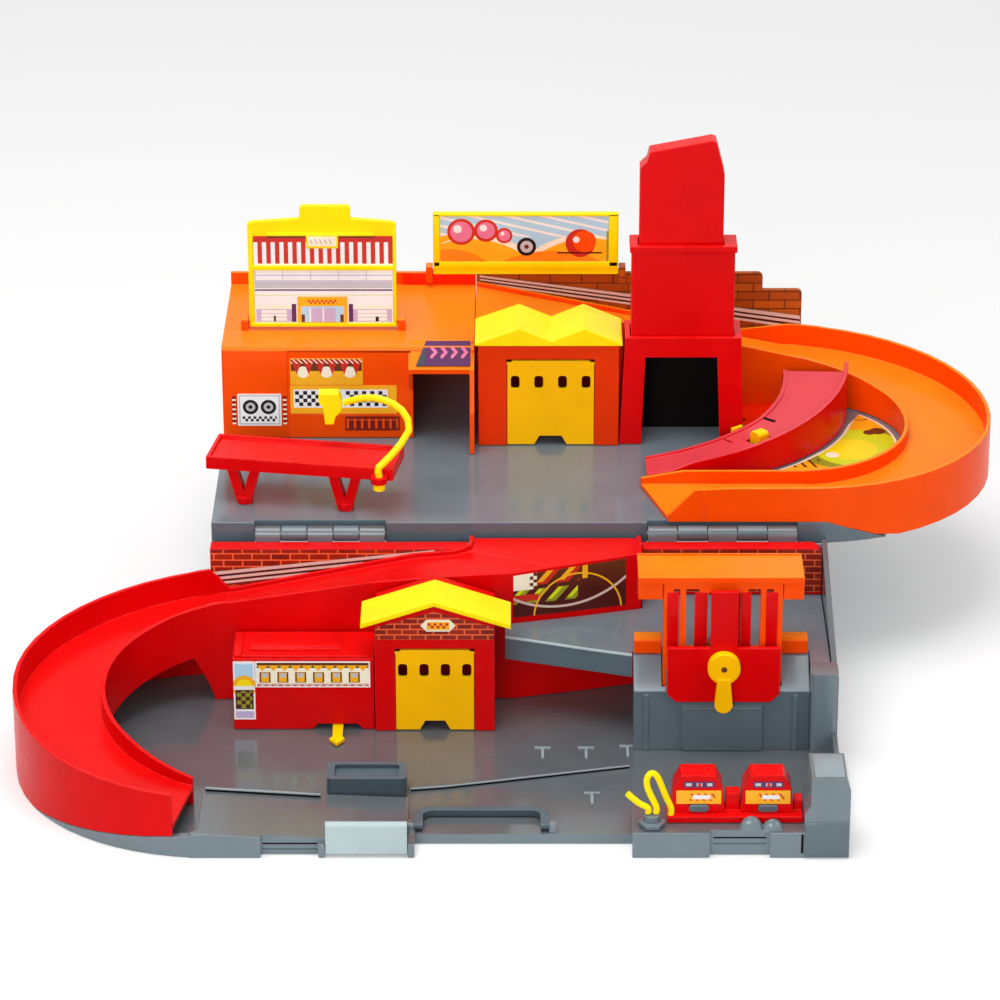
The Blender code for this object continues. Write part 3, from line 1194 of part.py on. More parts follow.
def deck_building():
    x0, x1 = DECK_BODY_X
    y0, y1 = DECK_BODY_Y
    bm = bmesh.new()
    step = DECK_BEVEL
    outline = [(y0, ON_REAR), (y0, DECK_LEVEL - step), (y0 + step, DECK_LEVEL),
               (y1 - WALL_THICK, DECK_LEVEL),
               (y1 - WALL_THICK, DECK_RIM), (y1, DECK_RIM), (y1, ON_REAR)]
    add_prism(bm, outline, "YZ", x0, x1)
    inside = bmesh.new()
    add_box(inside, (x0 + SKIN, y0 + SKIN, ON_REAR - OVER), (x1 - SKIN, y1 - SKIN,
                                                             DECK_LEVEL - step - SKIN))
    item = place("deck_building", bm)
    item.data.materials.append(material("deck_building_finish", ORANGE))
    operate(item, "DIFFERENCE", inside, "hollow")
    add = bmesh.new()
    cut = bmesh.new()
    y, z = SIGN_PIVOT
    for edge, away in ((SIGN_X[0], -1), (SIGN_X[1], 1)):
        low, high = sorted((edge + away * RUN, edge + away * 0.0045))
        add_prism(add, rounded(y - 0.0045, DECK_LEVEL - 0.003, y + 0.0045, z + 0.0035, 0.002), "YZ", low,
                  high)
        low, high = sorted((edge + away * OVER, edge - away * 0.003))
        add_prism(add, circle(y, z, SIGN_PEG, 10), "YZ", low, high)
    x, y = REAR_SCREWS["screw_rear_deck"]
    add_screw_boss(add, cut, x, y, ON_REAR)
    add_box(add, (x - SKIN / 2, y + BOSS_R - OVER, ON_REAR), (x + SKIN / 2, y1 - SKIN + OVER,
                                                              ON_REAR + BOSS_HEIGHT))
    wall, roof = PORCH_Y
    joint = y0 + OVER
    cheek = [(joint, 0.122), (roof, DECK_DOOR_TOP), (roof, 0.1415), (joint, 0.1470)]
    jamb = [(wall, ON_REAR), (wall, 0.118), (roof, 0.1415), (joint, 0.1470), (joint, ON_REAR)]
    cover = [(roof, DECK_DOOR_TOP), (roof, 0.1415), (0.130, 0.1515), (0.130, 0.1490), (joint, 0.1450)]
    add_prism(add, cheek, "YZ", DECK_DOOR_X[0] - SKIN, DECK_DOOR_X[0])
    add_prism(add, jamb, "YZ", DECK_DOOR_X[1], x1)
    add_prism(add, cover, "YZ", DECK_DOOR_X[0] - SKIN / 2, x1 - SKIN / 2)
    add_ear(add, BOARD_X[0], -1)
    operate(item, "UNION", add, "joined")
    add_box(cut, (DECK_DOOR_X[0], y0 - OVER, ON_REAR - OVER), (DECK_DOOR_X[1], y0 + SKIN + OVER,
                                                               DECK_DOOR_TOP))
    operate(item, "DIFFERENCE", cut, "cut")

    y, z = SIGN_PIVOT
    bm = bmesh.new()
    x0, x1 = SIGN_X[0] + RUN, SIGN_X[1] - RUN
    b0, b1 = SIGN_BLOCK_X
    low = z - SIGN_THICK / 2
    face = [(x0, low), (x1, low), (x1, SIGN_TOP - 0.002), (x1 - 0.003, SIGN_TOP - 0.001),
            (b1, SIGN_TOP + 0.001),
            (b1, SIGN_BLOCK_TOP - 0.0015), (b1 - 0.0015, SIGN_BLOCK_TOP), (b0 + 0.0015, SIGN_BLOCK_TOP),
            (b0, SIGN_BLOCK_TOP - 0.0015), (b0, SIGN_TOP + 0.001), (x0 + 0.003, SIGN_TOP - 0.001),
            (x0, SIGN_TOP - 0.002)]
    add_prism(bm, face, "XZ", y - SIGN_THICK / 2, y + SIGN_THICK / 2)
    cut = bmesh.new()
    for low, high in ((x0 - OVER, x0 + 0.0035), (x1 - 0.0035, x1 + OVER)):
        add_prism(cut, circle(y, z, SIGN_PEG + CLEAR, 10), "YZ", low, high)
    make("shop_sign", bm, YELLOW, cut=cut, origin=(0, y, z))


# Rear track: the ramp at the back and the right loop
REAR_START_X = -0.026
REAR_LANE_Y = 0.161
REAR_HIGH = 0.150
REAR_RAMP_LOW = 0.112
REAR_LOOP_LOW = 0.0948
REAR_KNEE_X = 0.062
REAR_FRONT_END = (0.085, 0.070)
REAR_RIM = ((0.00, 0.1250), (0.80, 0.1190), (1.57, 0.1130), (3.15, 0.1130))
REAR_RIM_IN = ((0.00, 0.1220), (0.80, 0.1120), (1.57, 0.1070), (3.15, 0.1030))


def rear_track():
    rings = []
    back = REAR_EDGE - REAR_BACK_GAP
    for k in range(7):
        share = k / 6
        x = mix(REAR_START_X, LOOP_CX - 0.003, share)
        floor = mix(REAR_HIGH, REAR_RAMP_LOW, share)
        past = (x - REAR_KNEE_X) / (LOOP_CX - REAR_KNEE_X)
        inner_y = mix(REAR_LANE_Y, REAR_CY + LANE_INNER, past)
        rim_in = max(mix(REAR_HIGH + 0.001, REAR_RIM_IN[0][1], past), floor + 0.001)
        rim_out = mix(floor + 0.003, REAR_RIM[0][1], (share - 5 / 6) * 6)
        rings.append(lane_ring(v2(x, back), v2(x, inner_y), floor, rim_out, rim_in, ON_REAR, ON_REAR))
    start, steps = loop_turns(0)
    end = turn_at_side(0.0006)
    turns = start + [turn for turn in steps if turn < pi - end - 0.08] + [pi - turn_at_side(0.0014),
                                                                          pi - end, pi]
    for turn in turns:
        outer = loop_point(1, REAR_CY, turn, 0, REAR_BACK_REACH, LOOP_DEPTH)
        floor = REAR_LOOP_LOW + (REAR_RAMP_LOW - REAR_LOOP_LOW) * (1 - turn / pi) ** 1.7
        raised = tail_top(1, turn, REAR_LOW, REAR_FLOOR)
        foot_out = raised + (CLEAR if raised > REAR_LOW else 0)
        if turn < turn_at_side(0.0008) or turn > pi - turn_at_side(0.0008):
            foot_out = ON_REAR
        rings.append(lane_ring(outer, lane_inner(1, REAR_CY, turn), floor, along(REAR_RIM, turn),
                               along(REAR_RIM_IN, turn), foot_out, ON_REAR))
    front = REAR_CY - LOOP_DEPTH
    for outer_x, inner_x, rim in ((0.120, 0.120, 0.113), (0.100, 0.095, 0.112), REAR_FRONT_END + (0.0965,)):
        rings.append(lane_ring(v2(outer_x, front), v2(inner_x, REAR_CY - LANE_INNER), REAR_LOOP_LOW, rim,
                               min(0.103, rim + 0.002), ON_REAR, ON_REAR))
    bm = bmesh.new()
    add_rings(bm, rings)
    make("rear_track", bm, ORANGE, smooth=True)


PARAPET_STEP_X = 0.148
PARAPET_END_X = 0.172
PARAPET_LOW = 0.147
PARAPET_ROUND = 0.003


def parapet():
    bm = bmesh.new()
    y0, y1 = REAR_EDGE - WALL_THICK, REAR_EDGE
    outline = [(REAR_START_X, ON_REAR), (PARAPET_END_X, ON_REAR)]
    outline += [(PARAPET_END_X - PARAPET_ROUND * (1 - cos(k * pi / 6)),
                 PARAPET_LOW - PARAPET_ROUND * (1 - sin(k * pi / 6)))
                for k in range(4)]
    outline.append((PARAPET_STEP_X, PARAPET_LOW))
    outline += [(PARAPET_STEP_X - PARAPET_ROUND * (1 - cos(k * pi / 6)),
                 DECK_RIM - PARAPET_ROUND * (1 - sin(k * pi / 6)))
                for k in range(4)]
    outline.append((REAR_START_X, DECK_RIM))
    add_prism(bm, outline, "XZ", y0, y1)
    add = bmesh.new()
    add_ear(add, BOARD_X[1], 1)
    make("parapet_wall", bm, BROWN, add)


def billboard():
    """A board on the rear rim that folds forwards on the pegs of two ears."""
    y, z = BOARD_PIVOT
    x0, x1 = BOARD_X
    bm = bmesh.new()
    add_box(bm, (x0, y - BOARD_THICK / 2, z - BOARD_THICK / 2), (x1, y + BOARD_THICK / 2, BOARD_TOP))
    cut = bmesh.new()
    for low, high in ((x0 - OVER, x0 + 0.0035), (x1 - 0.0035, x1 + OVER)):
        add_prism(cut, circle(y, z, SIGN_PEG + CLEAR, 10), "YZ", low, high)
    make("billboard", bm, YELLOW, cut=cut, origin=(0, y, z))


# Orange garage
GARAGE_X = (-0.024, 0.0585)
GARAGE_Y = (0.110, 0.1607)
GARAGE_TOP = 0.156
GARAGE_BACK_TOP = 0.150
GARAGE_DOOR_X = (-0.007, 0.044)
GARAGE_DOOR_TOP = 0.146
ZIGZAG_X = (-0.026, 0.0605)
ZIGZAG_Y = (0.108, 0.148)
ZIGZAG_PEAKS = (0.000, 0.038)
ZIGZAG_RISE = 0.011


def orange_garage():
    x0, x1 = GARAGE_X
    y0, y1 = GARAGE_Y
    bm = bmesh.new()
    outline = [(y0, ON_REAR), (y1, ON_REAR), (y1, GARAGE_BACK_TOP), (ZIGZAG_Y[1] + CLEAR, GARAGE_BACK_TOP),
               (ZIGZAG_Y[1] + CLEAR, GARAGE_TOP), (y0, GARAGE_TOP)]
    add_prism(bm, outline, "YZ", x0, x1)
    inside = bmesh.new()
    add_box(inside, (x0 + SKIN, y0 + SKIN, ON_REAR - OVER), (x1 - SKIN, y1 - SKIN, GARAGE_BACK_TOP - SKIN))
    item = place("orange_garage_shell", bm)
    item.data.materials.append(material("orange_garage_shell_finish", ORANGE))
    operate(item, "DIFFERENCE", inside, "hollow")
    add = bmesh.new()
    cut = bmesh.new()
    face_y = y0 + 0.0006
    add_door_seats(add, cut, *GARAGE_DOOR_X, GARAGE_DOOR_TOP, face_y)
    x, y = REAR_SCREWS["screw_rear_garage"]
    add_screw_boss(add, cut, x, y, ON_REAR)
    add_box(add, (x + BOSS_R - OVER, y - SKIN / 2, ON_REAR), (x1 - SKIN + OVER, y + SKIN / 2,
                                                              ON_REAR + BOSS_HEIGHT))
    operate(item, "UNION", add, "joined")
    add_box(cut, (GARAGE_DOOR_X[0] - DOOR_SIDE, y0 - OVER, ON_REAR - OVER),
            (GARAGE_DOOR_X[1] + DOOR_SIDE, y0 + SKIN + OVER, GARAGE_DOOR_TOP + LINTEL))
    operate(item, "DIFFERENCE", cut, "cut")
    door("orange_garage_door", *GARAGE_DOOR_X, ON_REAR + CLEAR, GARAGE_DOOR_TOP, face_y, 0.019)

    low = GARAGE_TOP + CLEAR
    high = low + ZIGZAG_RISE
    valley = sum(ZIGZAG_PEAKS) / 2
    edge = 0.0015
    roof = bmesh.new()
    outline = [(ZIGZAG_X[0], low), (ZIGZAG_X[1], low), (ZIGZAG_X[1], low + edge), (ZIGZAG_PEAKS[1], high),
               (valley, low + 0.0030), (ZIGZAG_PEAKS[0], high), (ZIGZAG_X[0], low + edge)]
    add_prism(roof, outline, "XZ", *ZIGZAG_Y)
    make("zigzag_roof", roof, YELLOW)


# Telescoping tower
TOWER_FOOT_X = (0.059, 0.1325)
TOWER_HEAD_X = (0.062, 0.1300)
TOWER_Y = (0.112, 0.1405)
TOWER_TOP = 0.160
TOWER_DOOR_FOOT = (0.0720, 0.1185)
TOWER_DOOR_HEAD = (0.0740, 0.1160)
TOWER_DOOR_TOP = 0.1475
MIDDLE_X = (0.0655, 0.1255)
MIDDLE_Y = (0.1155, 0.1335)
MIDDLE_Z = (0.1460, 0.216)
COLLAR = 0.004              # height of the collar at the top of the middle section
TOP_X = (0.0697, 0.1186)
TOP_Z = (0.2120, 0.2795)


def tower():
    foot, head = TOWER_FOOT_X, TOWER_HEAD_X
    y0, y1 = TOWER_Y
    bm = bmesh.new()
    add_prism(bm, [(foot[0], ON_REAR), (foot[1], ON_REAR), (head[1], TOWER_TOP), (head[0], TOWER_TOP)],
              "XZ", y0, y1)
    room = bmesh.new()
    inside = [(foot[0] + SKIN, ON_REAR - OVER), (foot[1] - SKIN, ON_REAR - OVER),
              (head[1] - SKIN, TOWER_TOP - SKIN), (head[0] + SKIN, TOWER_TOP - SKIN)]
    add_prism(room, inside, "XZ", y0 + SKIN, y1 - SKIN)
    item = place("tower_base", bm)
    item.data.materials.append(material("tower_base_finish", RED))
    operate(item, "DIFFERENCE", room, "hollow")
    add = bmesh.new()
    cut = bmesh.new()
    x, y = REAR_SCREWS["screw_rear_tower"]
    add_screw_boss(add, cut, x, y, ON_REAR)
    add_box(add, (foot[0] + SKIN / 2, y - SKIN / 2, ON_REAR), (x - BOSS_R + OVER, y + SKIN / 2,
                                                               ON_REAR + BOSS_HEIGHT))
    operate(item, "UNION", add, "joined")
    low, high = TOWER_DOOR_FOOT, TOWER_DOOR_HEAD
    add_prism(cut, [(low[0], ON_REAR - OVER), (low[1], ON_REAR - OVER), (high[1], TOWER_DOOR_TOP),
                    (high[0], TOWER_DOOR_TOP)], "XZ", y0 - OVER, y0 + SKIN + OVER)
    add_box(cut, (MIDDLE_X[0] - RUN, MIDDLE_Y[0] - RUN, TOWER_TOP - 2 * SKIN),
            (MIDDLE_X[1] + RUN, MIDDLE_Y[1] + RUN, TOWER_TOP + OVER))
    operate(item, "DIFFERENCE", cut, "cut")

    a0, a1 = MIDDLE_X
    b0, b1 = MIDDLE_Y
    z0, z1 = MIDDLE_Z
    bm = bmesh.new()
    add_box(bm, (a0, b0, z0), (a1, b1, z1))
    cut = bmesh.new()
    add_box(cut, (a0 + SKIN, b0 + SKIN, z0 - OVER), (a1 - SKIN, b1 - SKIN, z1 - COLLAR))
    add_box(cut, (TOP_X[0] - RUN, b0 + SKIN, z1 - COLLAR - OVER), (TOP_X[1] + RUN, b1 - SKIN, z1 + OVER))
    add = bmesh.new()
    flange = 0.0012
    inner = [(a0 + OVER, b0 + OVER), (a1 - OVER, b0 + OVER), (a1 - OVER, b1 - OVER), (a0 + OVER, b1 - OVER)]
    outer = [(a0 - flange, b0 - flange), (a1 + flange, b0 - flange), (a1 + flange, b1 + flange),
             (a0 - flange, b1 + flange)]
    add_plate(add, outer, [inner], "XY", z1 - COLLAR, z1)
    make("tower_middle", bm, RED, add, cut)

    c0, c1 = TOP_X
    d0, d1 = b0 + SKIN + RUN, b1 - SKIN - RUN
    bm = bmesh.new()
    z0, z1 = TOP_Z
    outline = [(c0, z0), (c1, z0), (c1, z1 - 0.0210), (c1 - 0.0012, z1 - 0.0155),
               (c1 - 0.0050, z1 - 0.0010),
               (c1 - 0.0075, z1), (c0 + 0.0055, z1 - 0.0070), (c0 + 0.0040, z1 - 0.0130), (c0, z1 - 0.0170)]
    add_prism(bm, outline, "XZ", d0, d1)
    cut = bmesh.new()
    add_box(cut, (c0 + SKIN, d0 + SKIN, z0 - OVER), (c1 - SKIN, d1 - SKIN, z1 - 0.022))
    make("tower_top", bm, RED, cut=cut)


# Launch ramp with its car stop
RAMP_CENTRE = (0.072, 0.165)
RAMP_REACH = (0.108, 0.096)
RAMP_WIDTH = 0.034
RAMP_FLARE = 0.0055         # extra width towards the inside at the ramp's high end
RAMP_HEIGHT = (0.118, 0.0952)
RAMP_SPAN = (2.0, 89.0)
STOP_ANGLE = 51.0
SCREW_ANGLE = 27.0
STOP_PIVOT = 0.012
STOP_TAB = (0.0176, 0.0200)


def ramp_point(angle, offset):
    """A point of the ramp, offset inwards from its middle line."""
    return v2(RAMP_CENTRE[0] + (RAMP_REACH[0] - offset) * cos(angle),
              RAMP_CENTRE[1] - (RAMP_REACH[1] - offset) * sin(angle))


def ramp_floor(angle):
    return mix(*RAMP_HEIGHT, (angle - radians(RAMP_SPAN[0])) / radians(RAMP_SPAN[1] - RAMP_SPAN[0]))


def stop_frame():
    """Local frame of the car stop: X inwards across the ramp, Y along it, Z up from the ramp's floor."""
    angle = radians(STOP_ANGLE)
    centre = ramp_point(angle, 0)
    inward = (ramp_point(angle, 0.001) - centre).normalized()
    turn = atan2(inward.y, inward.x)
    return Matrix.Translation((centre.x, centre.y, ramp_floor(angle))) @ Matrix.Rotation(turn, 4, "Z")


def turned(bm, frame):
    bmesh.ops.transform(bm, matrix=frame, verts=bm.verts)
    return bm


def launch_ramp():
    rings = []
    half = RAMP_WIDTH / 2
    for k in range(15):
        angle = radians(mix(*RAMP_SPAN, k / 14))
        floor = ramp_floor(angle)
        wall = 0.007 if k < 13 else 0.004
        inner = half + RAMP_FLARE * max(1 - k / 6, 0)
        rings.append(lane_ring(ramp_point(angle, -half), ramp_point(angle, inner), floor, floor + wall,
                               floor + 0.0008,
                               ON_REAR, ON_REAR))
    bm = bmesh.new()
    add_rings(bm, rings)
    frame = stop_frame()
    add = bmesh.new()
    for away in (-1, 1):
        low, high = sorted((away * 0.0046, away * 0.0076))
        add_box(add, (STOP_PIVOT - 0.0028, low, -0.0098), (STOP_PIVOT + 0.0028, high, -SKIN + 0.0006))
    cut = bmesh.new()
    add_prism(cut, circle(STOP_PIVOT, -0.0072, 0.0011 + CLEAR, 10), "XZ", -0.009, 0.009)
    add_box(cut, (-0.0062, -0.0060, -0.020), (0.0042, 0.0060, 0.012))
    add_box(cut, (half - SKIN - OVER, -0.0050, -0.020), (half + OVER, 0.0050, -0.0030))
    for offset in (-0.0105, 0.0125):
        add_box(cut, (offset - 0.0035, 0.0120, -0.020), (offset + 0.0035, 0.0132, 0.012))
    turned(add, frame)
    turned(cut, frame)
    x, y = REAR_SCREWS["screw_rear_ramp"]
    add_screw_boss(add, cut, x, y, ON_REAR)
    under = ramp_floor(radians(SCREW_ANGLE)) - OVER
    add_prism(add, circle(x, y, BOSS_R - SKIN / 2, 12), "XY", ON_REAR + BOSS_HEIGHT - OVER, under)
    make("launch_ramp", bm, RED, add, cut, smooth=True)

    bm = bmesh.new()
    outline = [(-0.0050, -0.0088), (STOP_TAB[1], -0.0088), (STOP_TAB[1], 0.0015), (STOP_TAB[0], 0.0015),
               (STOP_TAB[0], -0.0058), (0.0030, -0.0058), (0.0030, 0.0040), (0.0015, 0.0055),
               (-0.0035, 0.0055),
               (-0.0050, 0.0040)]
    add_prism(bm, outline, "XZ", -0.0040, 0.0040)
    add = bmesh.new()
    add_prism(add, circle(STOP_PIVOT, -0.0072, 0.0011, 10), "XZ", -0.0070, 0.0070)
    pivot = frame @ Vector((STOP_PIVOT, 0, -0.0072))
    make("car_stop", turned(bm, frame), YELLOW, turned(add, frame), origin=pivot)


# Wash bench with its spray arm. Its own frame has X along the front edge and Y towards the back.
BENCH_TURN = radians(-9.4)
BENCH_SIZE = (0.109, 0.034)
BENCH_Z = (0.1140, 0.1215)
BENCH_LIP = 0.0015
BENCH_FOOT = (0.0210, 0.0060)      # the left foot, on the pivot
BENCH_LEGS = {"bench_leg_left": 0.0210, "bench_leg_right": 0.0800}
LEG_REACH = 0.0095
LEG_BAR = 0.0055
LEG_DEPTH = 0.0060
FOOT_R = 0.0048
FOOT_HIGH = 0.0040
BENCH_PEG = 0.008
ARM_R = 0.0021
ARM_EAR = (0.1015, -0.0035)
EAR_R = 0.0048
EAR_HIGH = 0.004
NOZZLE = (-0.1080, 0.0450)
NOZZLE_HALF = 0.0042
NOZZLE_SHAPE = ((-0.0065, 0.1545), (0.0050, 0.1545), (0.0066, 0.1500), (0.0066, 0.1440), (0.0030, 0.1400),
                (0.0020, 0.1355), (-0.0030, 0.1355), (-0.0040, 0.1460), (-0.0065, 0.1490))
ARM_RISE = (-0.0035, 0.0045, 0.0095)
ARM_ROUTE = ((-0.0725, 0.0120, 0.1290), (-0.0625, 0.0225, 0.1400), (-0.0665, 0.0300, 0.1490),
             (-0.0770, 0.0360, 0.1530), (-0.0885, 0.0415, 0.1520), (-0.1000, 0.0450, 0.1475))


def bench_frame():
    return (Matrix.Translation((*BENCH_PIVOT, 0)) @ Matrix.Rotation(BENCH_TURN, 4, "Z")
            @ Matrix.Translation((-BENCH_FOOT[0], -BENCH_FOOT[1], 0)))


def bench():
    frame = bench_frame()
    length, depth = BENCH_SIZE
    low, high = BENCH_Z
    origin = (*BENCH_PIVOT, low)
    ear_x, ear_y = ARM_EAR
    bm = bmesh.new()
    add_prism(bm, [(0, low), (length, low), (length, high), (0, high)], "XZ", 0, depth)
    hollow = bmesh.new()
    add_box(hollow, (SKIN, SKIN, low - OVER), (length - SKIN, depth - SKIN, high - SKIN - BENCH_LIP))
    add_box(hollow, (SKIN, SKIN, high - BENCH_LIP), (length - SKIN, depth - SKIN, high + OVER))
    item = place("bench_top", turned(bm, frame), origin)
    item.data.materials.append(material("bench_top_finish", RED))
    operate(item, "DIFFERENCE", turned(hollow, frame), "hollow")
    add = bmesh.new()
    add_prism(add, circle(ear_x, ear_y, EAR_R, 16), "XY", low, low + EAR_HIGH)
    add_box(add, (ear_x - EAR_R * 0.8, ear_y, low), (ear_x + EAR_R * 0.8, SKIN - OVER, low + EAR_HIGH))
    for x in BENCH_LEGS.values():
        add_box(add, (x - LEG_REACH - OVER, SKIN - OVER, low),
                (x + LEG_REACH + OVER, depth - SKIN + OVER, low + SKIN))
    operate(item, "UNION", turned(add, frame), "joined")
    hole = bmesh.new()
    add_prism(hole, circle(ear_x, ear_y, ARM_R + CLEAR, 14), "XY", low - OVER, high + OVER)
    operate(item, "DIFFERENCE", turned(hole, frame), "cut")

    top = low - CLEAR
    ground = ON_REAR
    y = BENCH_FOOT[1]
    for name, x in BENCH_LEGS.items():
        bm = bmesh.new()
        outline = [(x - LEG_REACH, top), (x - LEG_REACH + LEG_BAR, top), (x, ground + 0.0075),
                   (x + LEG_REACH - LEG_BAR, top), (x + LEG_REACH, top), (x + FOOT_R * 0.8, ground),
                   (x - FOOT_R * 0.8, ground)]
        add_prism(bm, outline, "XZ", y - LEG_DEPTH / 2, y + LEG_DEPTH / 2)
        add = bmesh.new()
        add_prism(add, circle(x, y, FOOT_R, 14), "XY", ground, ground + FOOT_HIGH)
        cut = None
        if name == "bench_leg_left":
            cut = bmesh.new()
            add_prism(cut, circle(x, y, BENCH_PEG_R + CLEAR, 14), "XY", ground - OVER,
                      REAR_FLOOR + BENCH_PEG + CLEAR)
            turned(cut, frame)
        make(name, turned(bm, frame), RED, turned(add, frame), cut, origin)

    x, y, z = frame @ v3(ear_x, ear_y, low)
    points = [v3(x, y, z + rise) for rise in ARM_RISE] + [v3(*corner) for corner in ARM_ROUTE]
    bm = bmesh.new()
    add_tube(bm, smooth_route(points, 2), ARM_R)
    add = bmesh.new()
    add_prism(add, circle(x, y, ARM_R + 0.0014, 12), "XY", z - 0.004, z - CLEAR)
    make("spray_arm", bm, YELLOW, add, origin=(x, y, z), smooth=True)

    nx, ny = NOZZLE
    bm = bmesh.new()
    outline = [(nx + across, up) for across, up in NOZZLE_SHAPE]
    add_prism(bm, outline, "XZ", ny - NOZZLE_HALF, ny + NOZZLE_HALF)
    make("spray_nozzle", bm, YELLOW, origin=(x, y, z))


def support_legs():
    y, z = LEG_PIVOT
    for name, x in zip(("support_leg_left", "support_leg_right"), LEG_X):
        x0, x1 = x - LEG_WIDTH / 2, x + LEG_WIDTH / 2
        half = LEG_THICK / 2
        bm = bmesh.new()
        outline = [(x0 + 0.004, 0), (x1 - 0.004, 0), (x1, 0.012), (x1, z), (x0, z), (x0, 0.012)]
        hole = [(x0 + 0.008, 0.012), (x1 - 0.008, 0.012), (x1 - 0.006, 0.070), (x0 + 0.006, 0.070)]
        add_plate(bm, outline, [hole], "XZ", y - half, y + half)
        add = bmesh.new()
        add_prism(add, circle(y, z, half, 16), "YZ", x0, x1)
        cut = bmesh.new()
        for low, high in ((x0 - OVER, x0 + 0.0045), (x1 - 0.0045, x1 + OVER)):
            add_prism(cut, circle(y, z, LEG_PEG_R + CLEAR, 12), "YZ", low, high)
        make(name, bm, GREY, add, cut, (x, y, z))


def screws():
    for name, (x, y) in FRONT_SCREWS.items():
        screw(name, x, y, FRONT_LIFT)
    for name, (x, y) in REAR_SCREWS.items():
        screw(name, x, y, REAR_FLOOR - REAR_PLATE)


front_tray()
service_box()
front_track()
brick_walls()
upper_platform()
lift_housing()
lift_front_plate()
lift_guides()
lift_moving()
crank()
red_garage()
snack_shop()
fuel_pumps()
carry_handle()
case_latch()
hinge_pins()
rear_tray()
deck_building()
rear_track()
parapet()
billboard()
orange_garage()
tower()
launch_ramp()
bench()
support_legs()
screws()
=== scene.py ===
import json
import math
import bmesh
import bpy
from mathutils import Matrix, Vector


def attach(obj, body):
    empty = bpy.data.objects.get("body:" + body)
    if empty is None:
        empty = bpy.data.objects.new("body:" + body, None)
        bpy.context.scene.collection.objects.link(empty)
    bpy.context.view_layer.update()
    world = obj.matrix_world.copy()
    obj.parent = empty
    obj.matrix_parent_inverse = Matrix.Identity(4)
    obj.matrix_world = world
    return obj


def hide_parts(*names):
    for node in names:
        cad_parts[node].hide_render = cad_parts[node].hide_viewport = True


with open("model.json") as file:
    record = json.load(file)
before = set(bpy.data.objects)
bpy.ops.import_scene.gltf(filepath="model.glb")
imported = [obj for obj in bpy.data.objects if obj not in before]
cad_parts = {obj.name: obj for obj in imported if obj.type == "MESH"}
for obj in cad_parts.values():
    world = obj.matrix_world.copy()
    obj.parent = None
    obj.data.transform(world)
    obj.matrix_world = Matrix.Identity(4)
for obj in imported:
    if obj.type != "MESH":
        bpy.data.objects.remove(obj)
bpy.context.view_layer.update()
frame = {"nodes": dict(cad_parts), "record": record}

bodyOf = {node: body for body, nodes in frame["record"]["behaviour"]["bodies"].items() for node in nodes}
print("frame loaded with", len(frame["nodes"]), "nodes")


def paint(red, green, blue):
    # a colour as it looks on the toy, 0 to 255, in Blender's linear values
    linear = [((c / 255 + 0.055) / 1.055) ** 2.4 if c > 10 else c / 255 / 12.92 for c in (red, green, blue)]
    return (*linear, 1.0)


toyColours = {
    "red": (214, 2, 6),
    # painted light: the colours named Top are the paler lit tops of the plastic above each; the orange one is
    # also a print colour
    "redLitTop": (240, 14, 14),
    "orange": (250, 78, 0),
    "orangeTop": (252, 138, 22),
    "yellow": (255, 226, 0),
    "yellowLitTop": (255, 242, 30),
    # painted shade: yellow as it looks in shade, for parts seen mostly from the front
    "yellowPaintedShade": (255, 188, 0),
    "grey": (88, 103, 112),
    "greyTop": (116, 131, 139),
    "darkGrey": (62, 76, 84),
    "paleGrey": (176, 192, 195),
    "flame": (252, 40, 0),
    "deepRed": (150, 20, 10),
    "brown": (186, 88, 16),
    # painted shade: orange as it looks on faces in shade
    "orangePaintedShade": (226, 52, 0),
    "midGrey": (146, 160, 165),
    # painted light: the tray's grey as its sides look lit from the front, and its floor as it looks in less
    # light
    "trayLitSideGrey": (106, 121, 129),
    "trayShadedTop": (98, 104, 108),
    "steel": (196, 198, 202),
    # painted reflection: the pink of the ramp's floor
    "rampReflectionPink": (232, 72, 82),
    "cream": (250, 240, 214),
    "white": (242, 240, 240),
    "silver": (196, 192, 196),
    "lilac": (196, 178, 214),
    "sky": (176, 216, 240),
    "black": (18, 15, 15),
    "maroon": (78, 20, 12),
    "brick": (158, 34, 8),
    "brickDark": (124, 22, 6),
    "mortar": (238, 98, 52),
    "awning": (205, 42, 26),
    "plum": (92, 44, 92),
    "rose": (232, 120, 160),
    "lime": (214, 224, 20),
    "olive": (150, 150, 30),
    "sand": (252, 178, 26),
    "rail": (216, 188, 178),
    "umber": (104, 50, 18),
    "clay": (160, 68, 12),
}
shades = {name: paint(*colour) for name, colour in toyColours.items()}


# shader building
def addNode(tree, kind, settings=None, **sockets):
    # a shader node, its settings, and each socket's value or source; i0 and i1 name sockets by place
    made = tree.nodes.new("ShaderNode" + kind)
    for key, value in (settings or {}).items():
        setattr(made, key, value)
    for key, value in sockets.items():
        place = int(key[1:]) if key[0] == "i" and key[1:].isdigit() else key.replace("_", " ")
        if isinstance(value, bpy.types.NodeSocket):
            tree.links.new(value, made.inputs[place])
        else:
            made.inputs[place].default_value = value
    return made


def maths(tree, operation, first, second=0.0):
    return addNode(tree, "Math", {"operation": operation}, i0=first, i1=second).outputs[0]


def blendShade(tree, share, first, second):
    return addNode(tree, "Mix", {"data_type": "RGBA"}, i0=share, i6=first, i7=second).outputs[2]


def spread(tree, value, given, wanted=(0.0, 1.0)):
    # the given range of a value is spread over the wanted one
    (low, high), (first, last) = given, wanted
    return addNode(tree, "MapRange", i0=value, i1=low, i2=high, i3=first, i4=last).outputs[0]


def newGroup(name, inputs, outputs):
    group = bpy.data.node_groups.new(name, "ShaderNodeTree")
    for label, kind in inputs:
        group.interface.new_socket(label, in_out="INPUT", socket_type="NodeSocket" + kind)
    for label, kind in outputs:
        group.interface.new_socket(label, in_out="OUTPUT", socket_type="NodeSocket" + kind)
    return group, group.nodes.new("NodeGroupInput").outputs, group.nodes.new("NodeGroupOutput").inputs


